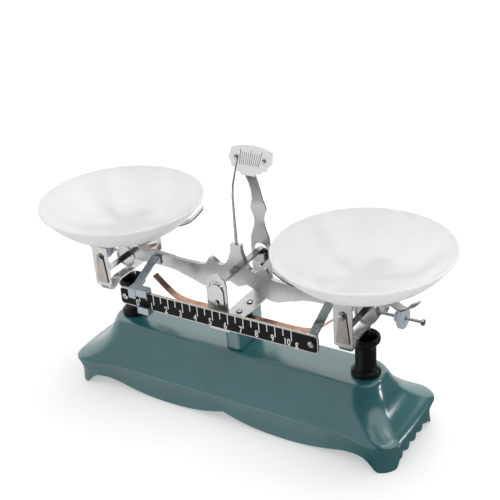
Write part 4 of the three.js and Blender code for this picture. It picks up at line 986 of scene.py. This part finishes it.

# %% [markdown]
# The balance stands on white paper, which keeps its shadow. The paper glows just enough to read as white to the eye.
# In mirrors it is another paper, as the room is another room: white on the left and behind, dark on the right, and
# grey close in front of the base, a painted shade that stands for the base's own shadow on the paper.

# %% Paper
FLOOR_HALF = 6.0
PAPER_GREY = 0.72
PAPER_GLOW = 0.4
# Each part of the mirrored paper, as for the room, with places in metres
PAPER_RIGHT = (0.02, 0.16, 1.0, 0.12)
PAPER_RIGHT_WAY = (1.0, -0.25, 0.0)
# Painted shade: the mirrored paper turns grey close in front of the base.
PAPER_FRONT_SHADE = (-0.15, -0.07, 1.0, 0.45)
PAPER_BACK = (0.0, 0.07, 0.0, 1.0)
corners = [(x * FLOOR_HALF, y * FLOOR_HALF, 0) for x, y in ((-1, -1), (1, -1), (1, 1), (-1, 1))]
floor_mesh = bpy.data.meshes.new("floor")
floor_mesh.from_pydata(corners, [], [(0, 1, 2, 3)])
floor = bpy.data.objects.new("floor", floor_mesh)
bpy.context.scene.collection.objects.link(floor)
paper, tree = start_material("white_paper")
path = add_node(tree, "ShaderNodeLightPath")
seen = path.outputs["Is Camera Ray"]
for ray in ("Is Glossy Ray", "Is Transmission Ray"):
    seen = add_node(tree, "ShaderNodeMath", {0: seen, 1: path.outputs[ray]}, operation="MAXIMUM").outputs[0]
glow = add_node(tree, "ShaderNodeMapRange", {"Value": seen, "To Min": 0.0, "To Max": PAPER_GLOW})
lit = add_node(tree, "ShaderNodeEmission", {"Color": WHITE, "Strength": glow.outputs["Result"]})
matt = add_node(tree, "ShaderNodeBsdfDiffuse", {"Color": (PAPER_GREY, PAPER_GREY, PAPER_GREY, 1)})
white = add_node(tree, "ShaderNodeAddShader", {0: matt.outputs[0], 1: lit.outputs[0]})
place = add_node(tree, "ShaderNodeTexCoord").outputs["Object"]
sideways = add_node(tree, "ShaderNodeVectorMath", {0: place, 1: PAPER_RIGHT_WAY}, operation="DOT_PRODUCT")
depth = add_node(tree, "ShaderNodeSeparateXYZ", {"Vector": place}).outputs["Y"]
levels = []
for way, side in ((depth, PAPER_FRONT_SHADE), (depth, PAPER_BACK), (sideways.outputs["Value"], PAPER_RIGHT)):
    level = add_node(tree, "ShaderNodeMapRange", {"Value": way, **dict(zip(RANGE_SOCKETS, side))},
                     interpolation_type="SMOOTHSTEP")
    levels.append(level.outputs["Result"])
shown = levels[0]
for level, choice in zip(levels[1:], ("MAXIMUM", "MINIMUM")):
    shown = add_node(tree, "ShaderNodeMath", {0: shown, 1: level}, operation=choice).outputs[0]
mirrored = add_node(tree, "ShaderNodeEmission", {"Color": WHITE, "Strength": shown})
finish_material(tree, add_node(tree, "ShaderNodeMixShader", {
    0: path.outputs["Is Glossy Ray"], 1: white.outputs[0], 2: mirrored.outputs[0]}))
floor_mesh.materials.append(paper)
bpy.context.scene.view_settings.view_transform = "Standard"
print("studio ready")
